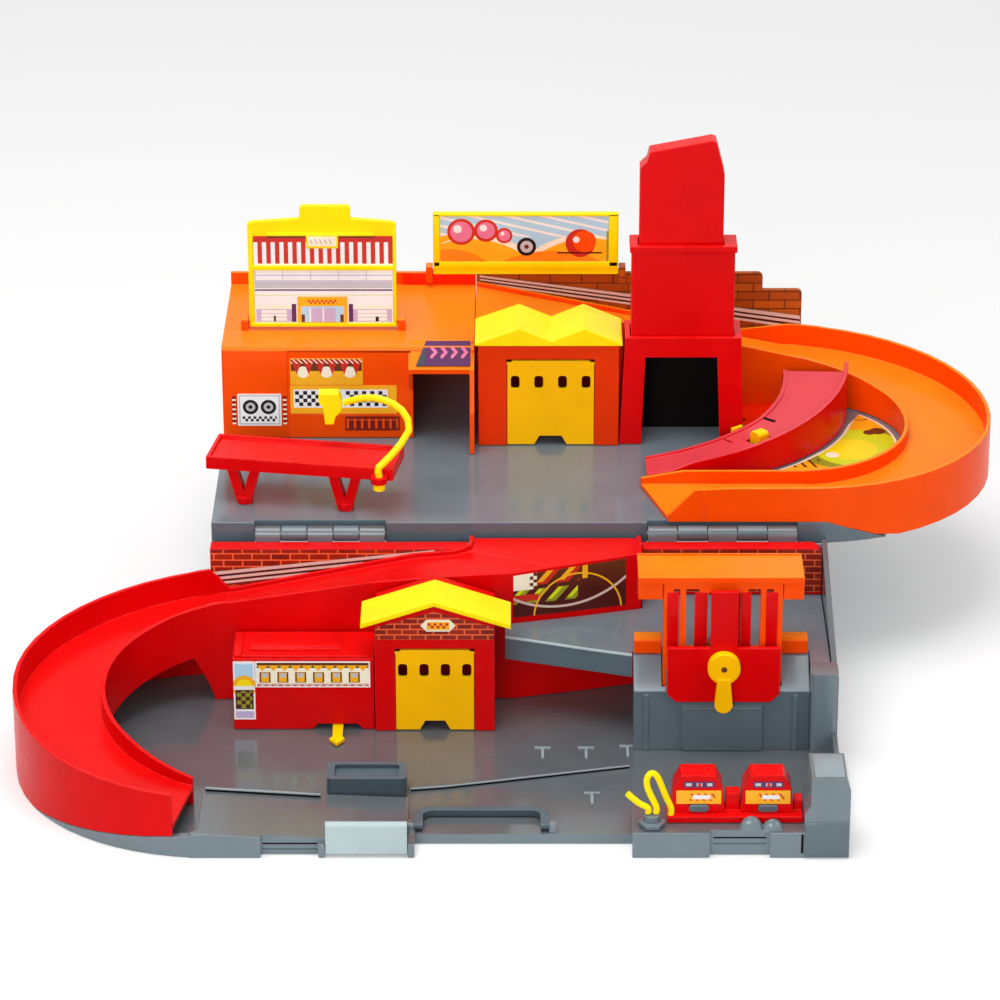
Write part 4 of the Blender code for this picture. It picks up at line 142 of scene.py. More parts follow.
wearValues = {
    "flowScale": 38.0,  # flow marks of the moulding
    "flowRange": (0.3, 0.7),
    "flowTone": (0.93, 1.05),  # how far they darken and lighten the colour
    "flowRough": (-0.05, 0.07),
    "flowDepth": 0.8,
    "grainScale": 1500.0,
    "grainDepth": 0.6,
    "scratchTurn": (0.3, 0.2, 0.6),  # hairline scratches: the way they run and their stretch
    "scratchStretch": (60.0, 1100.0, 700.0),
    "scratchRange": (0.66, 0.74),
    "scratchRough": 0.12,
    "scratchDepth": 0.3,
    "edgeRadius": 0.0007,  # rubbed edges
    "edgeRange": (0.985, 0.8),
    "patchRange": (0.42, 0.62),
    "paler": (0.75, 0.2),  # share kept of a colour and white added where it is rubbed
    "reliefDepth": 0.0003,
    "coatRoughness": 0.12,
    "metalGloss": 0.5,
}


def plasticWearGroup():
    # moulded plastic: flow marks in the colour, fine grain, hairline scratches and paler rubbed edges
    inputs = [("Vector", "Vector"), ("Base", "Color"), ("Worn", "Color")]
    inputs += [("Roughness", "Float"), ("Wear", "Float")]
    outputs = [("Color", "Color"), ("Roughness", "Float"), ("Height", "Float")]
    group, given, result = newGroup("plasticWear", inputs, outputs)
    place, own = given["Vector"], wearValues
    flow = addNode(group, "TexNoise", Vector=place, Scale=own["flowScale"], Detail=3.0, Roughness=0.55)
    flow = flow.outputs[0]
    grain = addNode(group, "TexNoise", Vector=place, Scale=own["grainScale"], Detail=2.0).outputs[0]
    longWay = addNode(group, "Mapping", Vector=place, Rotation=own["scratchTurn"],
                      Scale=own["scratchStretch"]).outputs[0]
    scratch = addNode(group, "TexNoise", Vector=longWay, Scale=1.0, Detail=2.0).outputs[0]
    scratchMask = spread(group, scratch, own["scratchRange"])
    rounded = addNode(group, "Bevel", {"samples": 3}, Radius=own["edgeRadius"]).outputs[0]
    straight = addNode(group, "NewGeometry").outputs["Normal"]
    facing = addNode(group, "VectorMath", {"operation": "DOT_PRODUCT"}, i0=rounded, i1=straight)
    edge = spread(group, facing.outputs["Value"], own["edgeRange"])
    patchy = spread(group, flow, own["patchRange"])
    rubbed = maths(group, "MULTIPLY", maths(group, "MULTIPLY", edge, patchy), given["Wear"])
    tone = spread(group, flow, own["flowRange"], own["flowTone"])
    toned = addNode(group, "VectorMath", {"operation": "SCALE"}, i0=given["Base"], Scale=tone).outputs[0]
    group.links.new(blendShade(group, rubbed, toned, given["Worn"]), result["Color"])
    rough = spread(group, flow, own["flowRange"], own["flowRough"])
    rough = maths(group, "ADD", rough, maths(group, "MULTIPLY", scratchMask, own["scratchRough"]))
    rough = maths(group, "ADD", rough, maths(group, "ADD", given["Roughness"], rubbed))
    group.links.new(rough, result["Roughness"])
    height = maths(group, "MULTIPLY", grain, own["grainDepth"])
    height = maths(group, "SUBTRACT", height, maths(group, "MULTIPLY", scratchMask, own["scratchDepth"]))
    height = maths(group, "ADD", height, maths(group, "MULTIPLY", flow, own["flowDepth"]))
    group.links.new(height, result["Height"])
    return group


def boxMaskGroup():
    # 1 inside a box of U and V, 0 outside
    inputs = [(label, "Float") for label in ("U", "V", "Low U", "High U", "Low V", "High V")]
    group, given, result = newGroup("boxMask", inputs, (("Mask", "Float"),))
    inside = 1.0
    for axis in "UV":
        above = maths(group, "GREATER_THAN", given[axis], given["Low " + axis])
        below = maths(group, "LESS_THAN", given[axis], given["High " + axis])
        inside = maths(group, "MULTIPLY", inside, maths(group, "MULTIPLY", above, below))
    group.links.new(inside, result["Mask"])
    return group


def discMaskGroup():
    # 1 inside a disc, or on a ring where Hole is above 0
    inputs = [(label, "Float") for label in ("U", "V", "Centre U", "Centre V", "Radius", "Hole")]
    group, given, result = newGroup("discMask", inputs, (("Mask", "Float"),))
    across = maths(group, "POWER", maths(group, "SUBTRACT", given["U"], given["Centre U"]), 2.0)
    up = maths(group, "POWER", maths(group, "SUBTRACT", given["V"], given["Centre V"]), 2.0)
    away = maths(group, "SQRT", maths(group, "ADD", across, up))
    inside = maths(group, "LESS_THAN", away, given["Radius"])
    outside = maths(group, "GREATER_THAN", away, given["Hole"])
    group.links.new(maths(group, "MULTIPLY", inside, outside), result["Mask"])
    return group


wearGroup = plasticWearGroup()
boxGroup = boxMaskGroup()
discGroup = discMaskGroup()


def groupNode(tree, group, **sockets):
    return addNode(tree, "Group", {"node_tree": group}, **sockets)


def worn(colour):
    keep, add = wearValues["paler"]
    return tuple(min(1.0, c * keep + add) for c in colour[:3]) + (1.0,)


def paintTopLight(tree, base, paintedTopShade, given):
    # painted light: faces that look upwards take a second shade of the plastic, mostly paler, as light falls
    # on them, which sets in over the given range
    up = addNode(tree, "SeparateXYZ", Vector=addNode(tree, "TexCoord").outputs["Normal"]).outputs["Z"]
    return blendShade(tree, spread(tree, up, given), base, shades[paintedTopShade])


def paintedShare(tree, value, start, period, share):
    # 1 on the painted share of each period, counted from start
    turn = maths(tree, "FRACT", maths(tree, "DIVIDE", maths(tree, "SUBTRACT", value, start), period))
    return maths(tree, "LESS_THAN", turn, share)


def boxFill(tree, kind, u, v, box, more):
    # what is painted inside a layer's box; more holds the values behind the box
    lowU, _, lowV, highV = box
    if kind == "stripes":  # upright stripes: period and painted share
        return paintedShare(tree, u, lowU, *more)
    if kind == "bands":  # level bands: period and painted share
        return paintedShare(tree, v, lowV, *more)
    if kind == "slants":  # slanted stripes: period, painted share and lean
        return paintedShare(tree, maths(tree, "ADD", u, maths(tree, "MULTIPLY", v, more[2])), 0.0, *more[:2])
    if kind == "checks":  # checks of one size
        across, up = maths(tree, "SUBTRACT", u, lowU), maths(tree, "SUBTRACT", v, lowV)
        flat = addNode(tree, "CombineXYZ", X=across, Y=up, Z=more[0] / 2).outputs[0]
        return addNode(tree, "TexChecker", Vector=flat, Scale=1 / more[0]).outputs["Fac"]
    if kind == "pennants":  # a row of points hanging from the top of the box: their width
        turn = maths(tree, "FRACT", maths(tree, "DIVIDE", maths(tree, "SUBTRACT", u, lowU), more[0]))
        swing = maths(tree, "ABSOLUTE", maths(tree, "SUBTRACT", maths(tree, "MULTIPLY", turn, 2.0), 1.0))
        foot = maths(tree, "ADD", maths(tree, "MULTIPLY", swing, highV - lowV), lowV)
        return maths(tree, "GREATER_THAN", v, foot)
    if kind == "fade":  # shades in from the bottom of the box to its top
        return spread(tree, v, (lowV, highV))
    return None


mm = 0.001
brickBond = {"scale": 1 / mm, "joint": 0.45, "smooth": 0.1}


def metres(sizes):
    return [size * mm for size in sizes]


def drawLayers(tree, place, base, layers, up):
    # a print on a flat face: each layer is its kind, its shade and its sizes along X and up, in millimetres
    split = addNode(tree, "SeparateXYZ", Vector=place).outputs
    u, v = split["X"], split[up]
    for kind, shade, *sizes in layers:
        if kind == "bricks":
            wide, tall, first, second = sizes
            flat = addNode(tree, "CombineXYZ", X=u, Y=v).outputs[0]
            bricks = addNode(tree, "TexBrick", Vector=flat, Color1=shades[first], Color2=shades[second],
                             Mortar=shades[shade], Scale=brickBond["scale"], i6=brickBond["smooth"],
                             i5=brickBond["joint"], i8=wide, i9=tall)
            base = bricks.outputs["Color"]
            continue
        sizes = metres(sizes[:5]) + sizes[5:]  # what follows the fifth is a share or a lean
        if kind == "disc":
            values = dict(zip(("Centre_U", "Centre_V", "Radius", "Hole"), sizes))
            mask = groupNode(tree, discGroup, U=u, V=v, **values).outputs[0]
        else:
            values = dict(zip(("Low_U", "High_U", "Low_V", "High_V"), sizes))
            mask = groupNode(tree, boxGroup, U=u, V=v, **values).outputs[0]
            inner = boxFill(tree, kind, u, v, sizes[:4], sizes[4:])
            if inner is not None:
                mask = maths(tree, "MULTIPLY", mask, inner)
        base = blendShade(tree, mask, base, shades[shade])
    return base


def makeFinish(name, shade, roughness, coat, wear=0.35, bump=0.1, metal=0.0, gloss=0.22, top=None,
               layers=(), up="Z"):
    # a plastic or print: top is the painted light of faces that look up, their second shade and its range,
    # layers are drawn over the shade
    finish = bpy.data.materials.new(name)
    finish.use_nodes = True
    tree = finish.node_tree
    shader = tree.nodes["Principled BSDF"]
    place = addNode(tree, "TexCoord").outputs["Object"]
    colour = shades[shade]
    base = colour
    # painted light: faces that look up take their painted lit top or shade
    if top:
        base = paintTopLight(tree, base, *top)
    if layers:
        base = drawLayers(tree, place, base, layers, up)
    surface = groupNode(tree, wearGroup, Vector=place, Base=base, Worn=worn(colour), Roughness=roughness,
                        Wear=wear)
    tree.links.new(surface.outputs["Color"], shader.inputs["Base Color"])
    tree.links.new(surface.outputs["Roughness"], shader.inputs["Roughness"])
    relief = addNode(tree, "Bump", Strength=bump, Distance=wearValues["reliefDepth"],
                     Height=surface.outputs["Height"])
    tree.links.new(relief.outputs[0], shader.inputs["Normal"])
    shader.inputs["Metallic"].default_value = metal
    shader.inputs["Coat Weight"].default_value = coat
    shader.inputs["Coat Roughness"].default_value = wearValues["coatRoughness"]
    shader.inputs["Specular IOR Level"].default_value = wearValues["metalGloss"] if metal else gloss
    finish.diffuse_color = colour
    return finish


# painted light: faces that look up take their painted lit top over the first range, and the ramp's floor its
# painted reflection over the second
litTopRange, rampReflectionRange = (0.35, 0.92), (0.9, 0.96)  # how far a face looks up where its tint starts and is full
plastics = {  # shade, roughness, coat, wear, gloss, and the tint of the faces that look up
    "red": ("red", 0.28, 0.03, 0.35, 0.09, ("redLitTop", litTopRange)),
    "orange": ("orange", 0.32, 0.02, 0.35, 0.09, ("orangeTop", litTopRange)),
    # painted shade: a darker orange for the garage shell's faces, with the same painted lit top
    "orangePaintedShade": ("orangePaintedShade", 0.32, 0.02, 0.35, 0.09, ("orangeTop", litTopRange)),
    "yellow": ("yellow", 0.34, 0.02, 0.35, 0.1, ("yellowLitTop", litTopRange)),
    # painted shade: the deeper yellow of faces in shade, with plain yellow as its painted lit top
    "yellowPaintedShade": ("yellowPaintedShade", 0.34, 0.02, 0.35, 0.1, ("yellow", litTopRange)),
    "grey": ("grey", 0.2, 0.4, 0.45, 0.3, ("greyTop", litTopRange)),
    # painted light: a paler grey for the tray's front-lit sides and a darker grey for its floor
    "trayLitSideGrey": ("trayLitSideGrey", 0.17, 0.6, 0.45, 0.34, ("trayShadedTop", litTopRange)),
    # painted light: the dark grey's faces that look up take plain grey as a lit top
    "darkGrey": ("darkGrey", 0.34, 0.12, 0.45, 0.2, ("grey", litTopRange)),
    "midGrey": ("midGrey", 0.3, 0.2, 0.45, 0.2, None),
    "paleGrey": ("paleGrey", 0.3, 0.2, 0.45, 0.2, None),
    # painted reflection: the ramp's floor, which looks up, turns pink as a painted reflection of the bright
    # sky
    "ramp": ("red", 0.24, 0.05, 0.35, 0.12, ("rampReflectionPink", rampReflectionRange)),
}
finishes = {name: makeFinish(name + "Plastic", shade, roughness, coat, wear, gloss=gloss, top=top)
            for name, (shade, roughness, coat, wear, gloss, top) in plastics.items()}
finishes["brown"] = makeFinish("clayBrick", "brown", 0.45, 0.03,
                               layers=[("bricks", "umber", 19.0, 5.6, "brown", "clay")])
finishes["steel"] = makeFinish("zincSteel", "steel", 0.28, 0.0, 0.2, metal=1.0)
finishes["shadow"] = makeFinish("shadowGrey", "black", 0.6, 0.0, 0.0, gloss=0.03)
finishes["flame"] = makeFinish("flameOrange", "flame", 0.32, 0.02, gloss=0.09)
print("finishes made")


# working by hand
def onlySelect(piece):
    bpy.ops.object.select_all(action="DESELECT")
    piece.select_set(True)
    bpy.context.view_layer.objects.active = piece


def useModifier(piece, kind, **settings):
    onlySelect(piece)
    modifier = piece.modifiers.new(kind.title(), kind)
    for key, value in settings.items():
        setattr(modifier, key, value)
    bpy.ops.object.modifier_apply(modifier=modifier.name)


roundFrom = math.radians(50)  # an edge that turns more than this is rounded


def roundEdges(piece, width):
    useModifier(piece, "BEVEL", width=width, segments=2, limit_method="ANGLE", angle_limit=roundFrom)


def editAll(piece):
    onlySelect(piece)
    bpy.ops.object.mode_set(mode="EDIT")
    bpy.ops.mesh.select_all(action="SELECT")


def settle(piece, node, finish, angle=38):
    # smooths, paints and hangs a finished piece on the body of the node that carries it
    onlySelect(piece)
    bpy.ops.object.shade_smooth_by_angle(angle=math.radians(angle))
    piece.data.materials.clear()
    piece.data.materials.append(finish)
    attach(piece, bodyOf[node])


def shapeFrom(name, corners, thick, soften=0.0):
    # a flat plate: a filled circle, its corners put in place, extruded along thick and its edges softened
    bpy.ops.mesh.primitive_circle_add(vertices=len(corners), radius=0.01, fill_type="NGON")
    piece = bpy.context.object
    piece.name = name
    for vertex, corner in zip(piece.data.vertices, corners):
        vertex.co = corner
    return thicken(piece, thick, soften)


def thicken(piece, thick, soften):
    editAll(piece)
    bpy.ops.mesh.extrude_region_move(TRANSFORM_OT_translate={"value": tuple(thick)})
    bpy.ops.mesh.select_all(action="SELECT")
    bpy.ops.mesh.normals_make_consistent(inside=False)
    bpy.ops.object.mode_set(mode="OBJECT")
    if soften:
        roundEdges(piece, soften)
    return piece


def stripFrom(name, pairs, thick, soften=0.0):
    # a strip of quads through pairs of low and high points, made from a grid
    bpy.ops.mesh.primitive_grid_add(x_subdivisions=len(pairs) - 1, y_subdivisions=1, size=0.02)
    piece = bpy.context.object
    piece.name = name
    for step, pair in enumerate(pairs):
        for row in (0, 1):
            piece.data.vertices[step + row * len(pairs)].co = pair[row]
    return thicken(piece, thick, soften)


def blockFrom(name, low, high, soften):
    # a softened block, in millimetres: a cube at its size and place
    low, high = Vector(metres(low)), Vector(metres(high))
    bpy.ops.mesh.primitive_cube_add(size=1.0, location=(low + high) / 2, scale=high - low)
    piece = bpy.context.object
    piece.name = name
    bpy.ops.object.transform_apply(location=True, rotation=True, scale=True)
    roundEdges(piece, soften * mm)
    return piece


def between(ends, share):
    return ends[0] + (ends[1] - ends[0]) * share


def arc(middle, radius, start, end, steps):
    # points on a round line, from one turn to another in degrees; a pair of radii makes an oval
    turns = [math.radians(between((start, end), step / steps)) for step in range(steps + 1)]
    (x, y), (wide, tall) = middle, radius
    return [(x + wide * math.cos(turn), y + tall * math.sin(turn)) for turn in turns]


# softened copies of the moulded parts: the frame's own shapes with rounded edges
softening = {
    "width": 0.0005,  # round on an outer edge
    "shortest": 2.6,  # an edge needs neighbours this many widths long
    "merge": 0.000002,  # corners nearer than this are one
    "flat": 0.4,  # degrees between two faces that are one flat face
    "sharp": 34.0,  # degrees between two faces that make an edge
    "strip": 0.00045,  # a face narrower than this is part of a rounded edge
    "stripLean": 50.0,  # degrees that a strip's neighbours may lean and still be smoothed with it
    "faceLean": 24.0,  # the same for every wider face
    "plain": ("screw_", "hinge_pin_", "crank_shaft", "drive_pinion", "fuel_hose_", "spray_arm", "lift_rack"),
}
recordTones = {
    "red": (0.62, 0.008, 0.01),
    "orange": (0.9, 0.14, 0.005),
    "yellow": (0.95, 0.62, 0.01),
    "grey": (0.1, 0.125, 0.145),
    "brown": (0.45, 0.1, 0.01),
    "steel": (0.56, 0.57, 0.58),
}
finishOf = {}  # each node's finish: the nearest tone to the colour in its record, or its own
for entry in frame["record"]["materials"]:
    colour = Vector(entry["base_color"])
    finishOf[entry["slot"]] = min(recordTones, key=lambda tone: (Vector(recordTones[tone]) - colour).length)
ownFinishes = {
    "ramp": ("launch_ramp",),
    "darkGrey": ("carry_handle", "service_box"),
    "trayLitSideGrey": ("front_tray",),
    "orangePaintedShade": ("orange_garage_shell",),
    "paleGrey": ("case_latch",),
    "yellowPaintedShade": ("red_garage_door", "orange_garage_door", "crank_handle", "shop_lever", "car_stop"),
}
for finish, nodes in ownFinishes.items():
    finishOf.update({node + "_finish": finish for node in nodes})


def evenNormals(mesh):
    # a corner takes the mean normal, by area, of the faces round it that lean little, so flat stays flat
    around = {}
    for face in mesh.polygons:
        for vertex in face.vertices:
            around.setdefault(vertex, []).append(face)
    normals = []
    for face in mesh.polygons:
        longest = max((mesh.vertices[a].co - mesh.vertices[b].co).length for a, b in face.edge_keys)
        lean = softening["stripLean"] if face.area < longest * softening["strip"] else softening["faceLean"]
        nearest = math.cos(math.radians(lean))
        for vertex in face.vertices:
            total = Vector()
            for other in around[vertex]:
                if face.normal.dot(other.normal) > nearest:
                    total += other.normal * other.area
            normals.append(total.normalized())
    mesh.normals_split_custom_set(normals)


def softenedCopy(node, finish):
    # the CAD node's mesh again, as whole faces, with every long outer edge rounded
    piece = bpy.data.objects.new(node + "_moulded", frame["nodes"][node].data.copy())
    bpy.context.scene.collection.objects.link(piece)
    editAll(piece)
    bpy.ops.mesh.remove_doubles(threshold=softening["merge"])
    bpy.ops.mesh.dissolve_limited(angle_limit=math.radians(softening["flat"]))
    bpy.ops.object.mode_set(mode="OBJECT")
    work = bmesh.new()
    work.from_mesh(piece.data)
    weight = work.edges.layers.float.new("bevel_weight_edge")
    sharp, room = math.radians(softening["sharp"]), softening["width"] * softening["shortest"]
    edges = [e for e in work.edges if e.is_manifold and e.calc_face_angle() > sharp]
    shortest = {v: min(e.calc_length() for e in v.link_edges) for edge in edges for v in edge.verts}
    for edge in edges:
        wide = all(face.calc_area() > room * room for face in edge.link_faces)
        if wide and min(shortest[v] for v in edge.verts) > room:
            edge[weight] = 1.0
    work.to_mesh(piece.data)
    work.free()
    useModifier(piece, "BEVEL", width=softening["width"], segments=2, limit_method="WEIGHT",
                use_clamp_overlap=False)
    settle(piece, node, finish, 180)
    evenNormals(piece.data)
    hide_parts(node)


for node, source in frame["nodes"].items():
    finish = finishes[finishOf[node + "_finish"]]
    if node.startswith(softening["plain"]):
        source.data.materials.clear()
        source.data.materials.append(finish)
    else:
        softenedCopy(node, finish)
print("moulded parts softened")


# printed plates on upright faces that look forwards, in millimetres
printGap = 0.00005  # a print starts this far in front of its wall
plateLook = {
    "thick": 0.3,
    "corner": 0.4,  # radius of the corners
    "soften": 0.0,
    "finish": (0.34, 0.15, 0.25, 0.05),  # roughness, coat, wear and bump
}


def facePlate(name, carrier, face, spec):
    # a flat plate with rounded corners; its box is from and to in X, from and to in Z
    x0, x1, z0, z1 = metres(spec["box"])
    back = face * mm - printGap
    cut, thick, soften = metres(spec.get(key, plateLook[key]) for key in ("corner", "thick", "soften"))
    left, right, low, high = x0 + cut, x1 - cut, z0 + cut, z1 - cut
    corners = []
    for middle, start in (((right, low), -90), ((right, high), 0), ((left, high), 90), ((left, low), 180)):
        corners += [(x, back, z) for x, z in arc(middle, (cut, cut), start, start + 90, 2)]
    look = makeFinish(name + "Print", spec["base"], *plateLook["finish"], layers=spec["layers"])
    settle(shapeFrom(name, corners, (0, -thick, 0), soften), carrier, look)


def layPrints(carrier, face, prints):
    # proud is how far a plate's back stands in front of the others
    for name, spec in prints.items():
        facePlate(name, carrier, face - spec.get("proud", 0.0), spec)


signPrints = {
    "sign_awning": {
        "box": (-156.3, -74.5, 191, 209.3), "thick": 0.6, "base": "awning",
        "layers": [
            ("stripes", "white", -156.3, -74.5, 190.5, 205.6, 5.12, 0.48),
            ("box", "cream", -156.3, -74.5, 190.5, 192.1), ("box", "umber", -148.5, -84.5, 208.3, 209.3)]},
    "sign_shutters": {
        "box": (-156.3, -74.5, 172.2, 188), "base": "white",
        "layers": [
            ("box", "silver", -156, -74.8, 176.5, 180.8),
            ("bands", "lilac", -156, -74.8, 180.9, 187.6, 3.4, 0.18),
            ("box", "plum", -156, -74.8, 174.8, 175.8),
            ("stripes", "silver", -156, -74.8, 180.9, 188, 16.4, 0.03)]},
    "sign_windows": {
        "box": (-156.3, -74.5, 154.6, 171.8), "base": "white",
        "layers": [
            ("box", "lilac", -155.5, -133.5, 155, 164), ("box", "lilac", -99, -75.2, 155, 164),
            ("box", "cream", -155.5, -133.5, 163.2, 165.5), ("box", "cream", -99, -75.2, 163.2, 165.5),
            ("box", "white", -152.5, -137.5, 155.4, 162.6), ("box", "white", -95.5, -78.2, 155.4, 162.6),
            ("bands", "silver", -152.5, -137.5, 155.4, 162.6, 2.4, 0.2),
            ("bands", "silver", -95.5, -78.2, 155.4, 162.6, 2.4, 0.2),
            ("box", "black", -145.2, -144, 155.4, 159), ("box", "black", -85, -83, 155.4, 158.4),
            ("box", "plum", -134.5, -131.8, 155, 166.5), ("box", "plum", -100.8, -98.2, 155, 166.5)]},
    "sign_entrance": {
        "box": (-131, -101.6, 154.8, 171.2), "proud": 0.3, "thick": 0.5, "base": "sand",
        "layers": [
            ("box", "sky", -129, -103.6, 155.2, 165.2), ("box", "lilac", -124, -108.6, 155.2, 164),
            ("stripes", "white", -124, -108.6, 155.2, 164, 7.7, 0.12),
            ("checks", "awning", -125, -107.8, 166.8, 169.4, 1.3),
            ("box", "umber", -128.8, -126.8, 155.2, 160), ("box", "umber", -105.8, -103.8, 155.2, 160)]},
    "sign_plaque": {
        "box": (-125.2, -106.4, 202, 210.6), "proud": 0.5, "thick": 0.9, "soften": 0.2,
        "base": "yellow",
        "layers": [
            ("box", "cream", -124, -107.6, 203.4, 209.4),
            ("slants", "rail", -122.8, -108.8, 205, 207.8, 2.8, 0.4, 0.5)]},
}
layPrints("shop_sign", 149.5, signPrints)
workshopPrints = {
    "workshop_poster": {
        "box": (-166.2, -140.4, 100.6, 121), "proud": 1, "base": "white",
        "layers": [
            ("box", "silver", -165.4, -141.2, 101.4, 120.2), ("box", "white", -164.6, -142, 102.2, 119.4),
            ("disc", "black", -158.6, 112.6, 4.6), ("disc", "silver", -158.6, 112.6, 2.8),
            ("disc", "black", -158.6, 112.6, 1.2), ("disc", "black", -148, 112.6, 4.6),
            ("disc", "silver", -148, 112.6, 2.8), ("disc", "black", -148, 112.6, 1.2),
            ("checks", "black", -163.4, -143.2, 103.4, 106.6, 1.6)]},
    **{"poster_ticks_" + side: {
        "box": (low, high, 101.6, 119.6), "proud": 1, "base": "deepRed",
        "layers": [("bands", "cream", low, high, 101.6, 119.6, 3, 0.35)]}
       for side, low, high in (("left", -169.4, -167.2), ("right", -139.4, -137.2))},
    "workshop_pennants": {
        "box": (-134.8, -92.1, 126.4, 143.2), "base": "sand",
        "layers": [
            ("box", "umber", -134.4, -92.5, 135.2, 142.8), ("disc", "cream", -127.2, 134.5, 3.6),
            ("disc", "cream", -113.4, 134.5, 3.6), ("disc", "cream", -99.6, 134.5, 3.6),
            ("pennants", "awning", -134.4, -92.5, 133, 142.8, 7),
            ("slants", "cream", -134.4, -92.5, 140, 142.8, 3, 0.3, 1.0)]},
    "workshop_checks": {
        "box": (-135, -72.3, 106.8, 126), "base": "sand",
        "layers": [
            ("box", "white", -133, -77.5, 111.8, 123.4),
            ("checks", "black", -132.2, -116.6, 112.8, 122.4, 2.4),
            ("checks", "black", -102.2, -78.2, 112.8, 122.4, 2.4),
            ("disc", "awning", -109.4, 117.6, 4.4, 2.6), ("box", "orange", -135, -72.3, 106.8, 108)]},
    "workshop_tools": {
        "box": (-102.8, -70.6, 97.2, 106), "base": "brickDark",
        "layers": [
            ("stripes", "orange", -102, -71.6, 98.4, 104.8, 4.2, 0.34),
            ("box", "orange", -101.8, -72, 103.6, 104.2)]},
}
layPrints("deck_building", 121.5, workshopPrints)
boardPrints = {
    "billboard_picture": {
        "box": (-47.6, 54, 167.2, 196.2), "base": "sky",
        "layers": [
            ("fade", "white", -47.6, 54, 199, 176), ("slants", "white", -47.6, 54, 183, 196.2, 22, 0.3, 4.2),
            ("disc", "sand", -30, 134, 52), ("disc", "cream", -25, 130, 53.5),
            ("disc", "sand", -29, 127.5, 54), ("disc", "cream", 40, 132.5, 52), ("disc", "sand", 43, 129, 53),
            ("disc", "orangeTop", -42, 140, 35), ("disc", "orangeTop", 20, 105, 69),
            ("disc", "rose", -35, 186.2, 8.4), ("disc", "awning", -35, 186.2, 8.4, 6.6),
            ("disc", "white", -37.2, 188, 2.6), ("disc", "rose", -20, 187, 7.2),
            ("disc", "awning", -20, 187, 7.2, 5.4), ("disc", "white", -21.6, 188.6, 2.2),
            ("disc", "awning", -9, 183.8, 5), ("disc", "rose", -9, 183.8, 3.6),
            ("disc", "white", -10, 185, 1.2), ("disc", "black", 4.5, 176.6, 5.8),
            ("disc", "silver", 4.5, 176.6, 3.8), ("disc", "umber", 4.5, 176.6, 1.4),
            ("disc", "awning", 37, 179, 9), ("disc", "orange", 39.5, 180, 7),
            ("disc", "white", 34.5, 181.2, 2), ("box", "maroon", 23, 50, 172.2, 173.2),
            ("box", "olive", 52.8, 54, 167.2, 187)]},
}
layPrints("billboard", 217, boardPrints)
shopPrints = {
    "shop_window_strip": {
        "box": (-146.4, -82.6, 32.6, 48.6), "base": "white",
        "layers": [
            ("box", "cream", -145.4, -83.4, 33.4, 47.8), ("box", "umber", -145.4, -83.4, 44.6, 47.8),
            ("pennants", "sand", -145.4, -83.4, 42.6, 46.2, 6.2), ("box", "rail", -145.4, -83.4, 33.4, 35),
            ("stripes", "umber", -144, -84.8, 35.6, 42, 9.9, 0.62),
            ("stripes", "sand", -143.1, -84.8, 36, 41.6, 9.9, 0.44),
            ("stripes", "silver", -142.5, -84.8, 38.8, 41.2, 9.9, 0.34),
            ("stripes", "awning", -145.4, -83.4, 33.4, 34.2, 4, 0.5)]},
    "shop_door_print": {
        "box": (-158.6, -146.6, 12.6, 48.6), "base": "white",
        "layers": [
            ("box", "sky", -157.6, -147.6, 33.4, 47), ("disc", "sand", -152.6, 33, 6.8),
            ("disc", "yellow", -152.6, 33, 4.6), ("box", "white", -158.6, -146.6, 31, 33.4),
            ("box", "maroon", -157.6, -147.6, 19, 31), ("checks", "olive", -156.8, -148.4, 19.6, 30.4, 2.4),
            ("box", "lilac", -157.6, -147.6, 13.6, 17.6)]},
}
layPrints("snack_shop", -88, shopPrints)


def pumpPrints(name, middle):
    # a pump's display, label and nozzle tray, about its middle in X
    return {
        name + "_display": {
            "box": (middle - 8.2, middle + 8.2, 34.2, 37.6), "base": "plum",
            "layers": [
                ("stripes", "silver", middle - 7, middle + 7, 35, 36.8, 5.6, 0.55),
                ("disc", "awning", middle + 0.2, 35.9, 1)]},
        name + "_label": {
            "box": (middle - 12, middle + 11.8, 24.4, 32.3), "base": "sand",
            "layers": [
                ("slants", "awning", middle - 5, middle + 8.6, 26.2, 30.6, 3.6, 0.35, 0.8),
                ("box", "white", middle - 3.2, middle + 6, 27.2, 29.6)]},
        # painted light: the band along the tray's top is the lit top grey
        name + "_tray": {
            "box": (middle - 5.3, middle + 5.3, 19.7, 24), "thick": 0.6, "corner": 1.8,
            "base": "grey", "layers": [("box", "greyTop", middle - 5, middle + 5, 22.9, 24)]},
    }


for name, middle in (("fuel_pump_left", 95.5), ("fuel_pump_right", 132.25)):
    layPrints(name, -209, pumpPrints(name, middle))
print("prints laid")

# the raised edges of the sign and the billboard: low and high corner, in millimetres
trimRound = 0.3
trims = {
    "shop_sign": {
        "sign_ledge": ((-157.2, 147.8, 188.2), (-73.6, 150, 191)),
        "sign_top_rib": ((-148, 148.2, 209.6), (-85, 150, 211)),
        "sign_left_edge": ((-159, 148.4, 153.6), (-156.6, 150, 212)),
        "sign_right_edge": ((-74.2, 148.4, 153.6), (-72.6, 150, 212)),
        "sign_sill": ((-159, 148, 152.4), (-72.6, 150, 154.5))},
    "billboard": {
        "billboard_left_edge": ((-51.4, 215.8, 164.2), (-48, 217.4, 197.6)),
        "billboard_right_edge": ((54.4, 215.8, 164.2), (59.4, 217.4, 197.6)),
        "billboard_top_edge": ((-51.4, 215.8, 196.4), (59.4, 217.4, 197.8)),
        "billboard_bottom_edge": ((-51.4, 215.8, 162.8), (59.4, 217.4, 167))},
}
for carrier, edges in trims.items():
    for name, (low, high) in edges.items():
        settle(blockFrom(name, low, high, trimRound), carrier, finishes["yellow"])

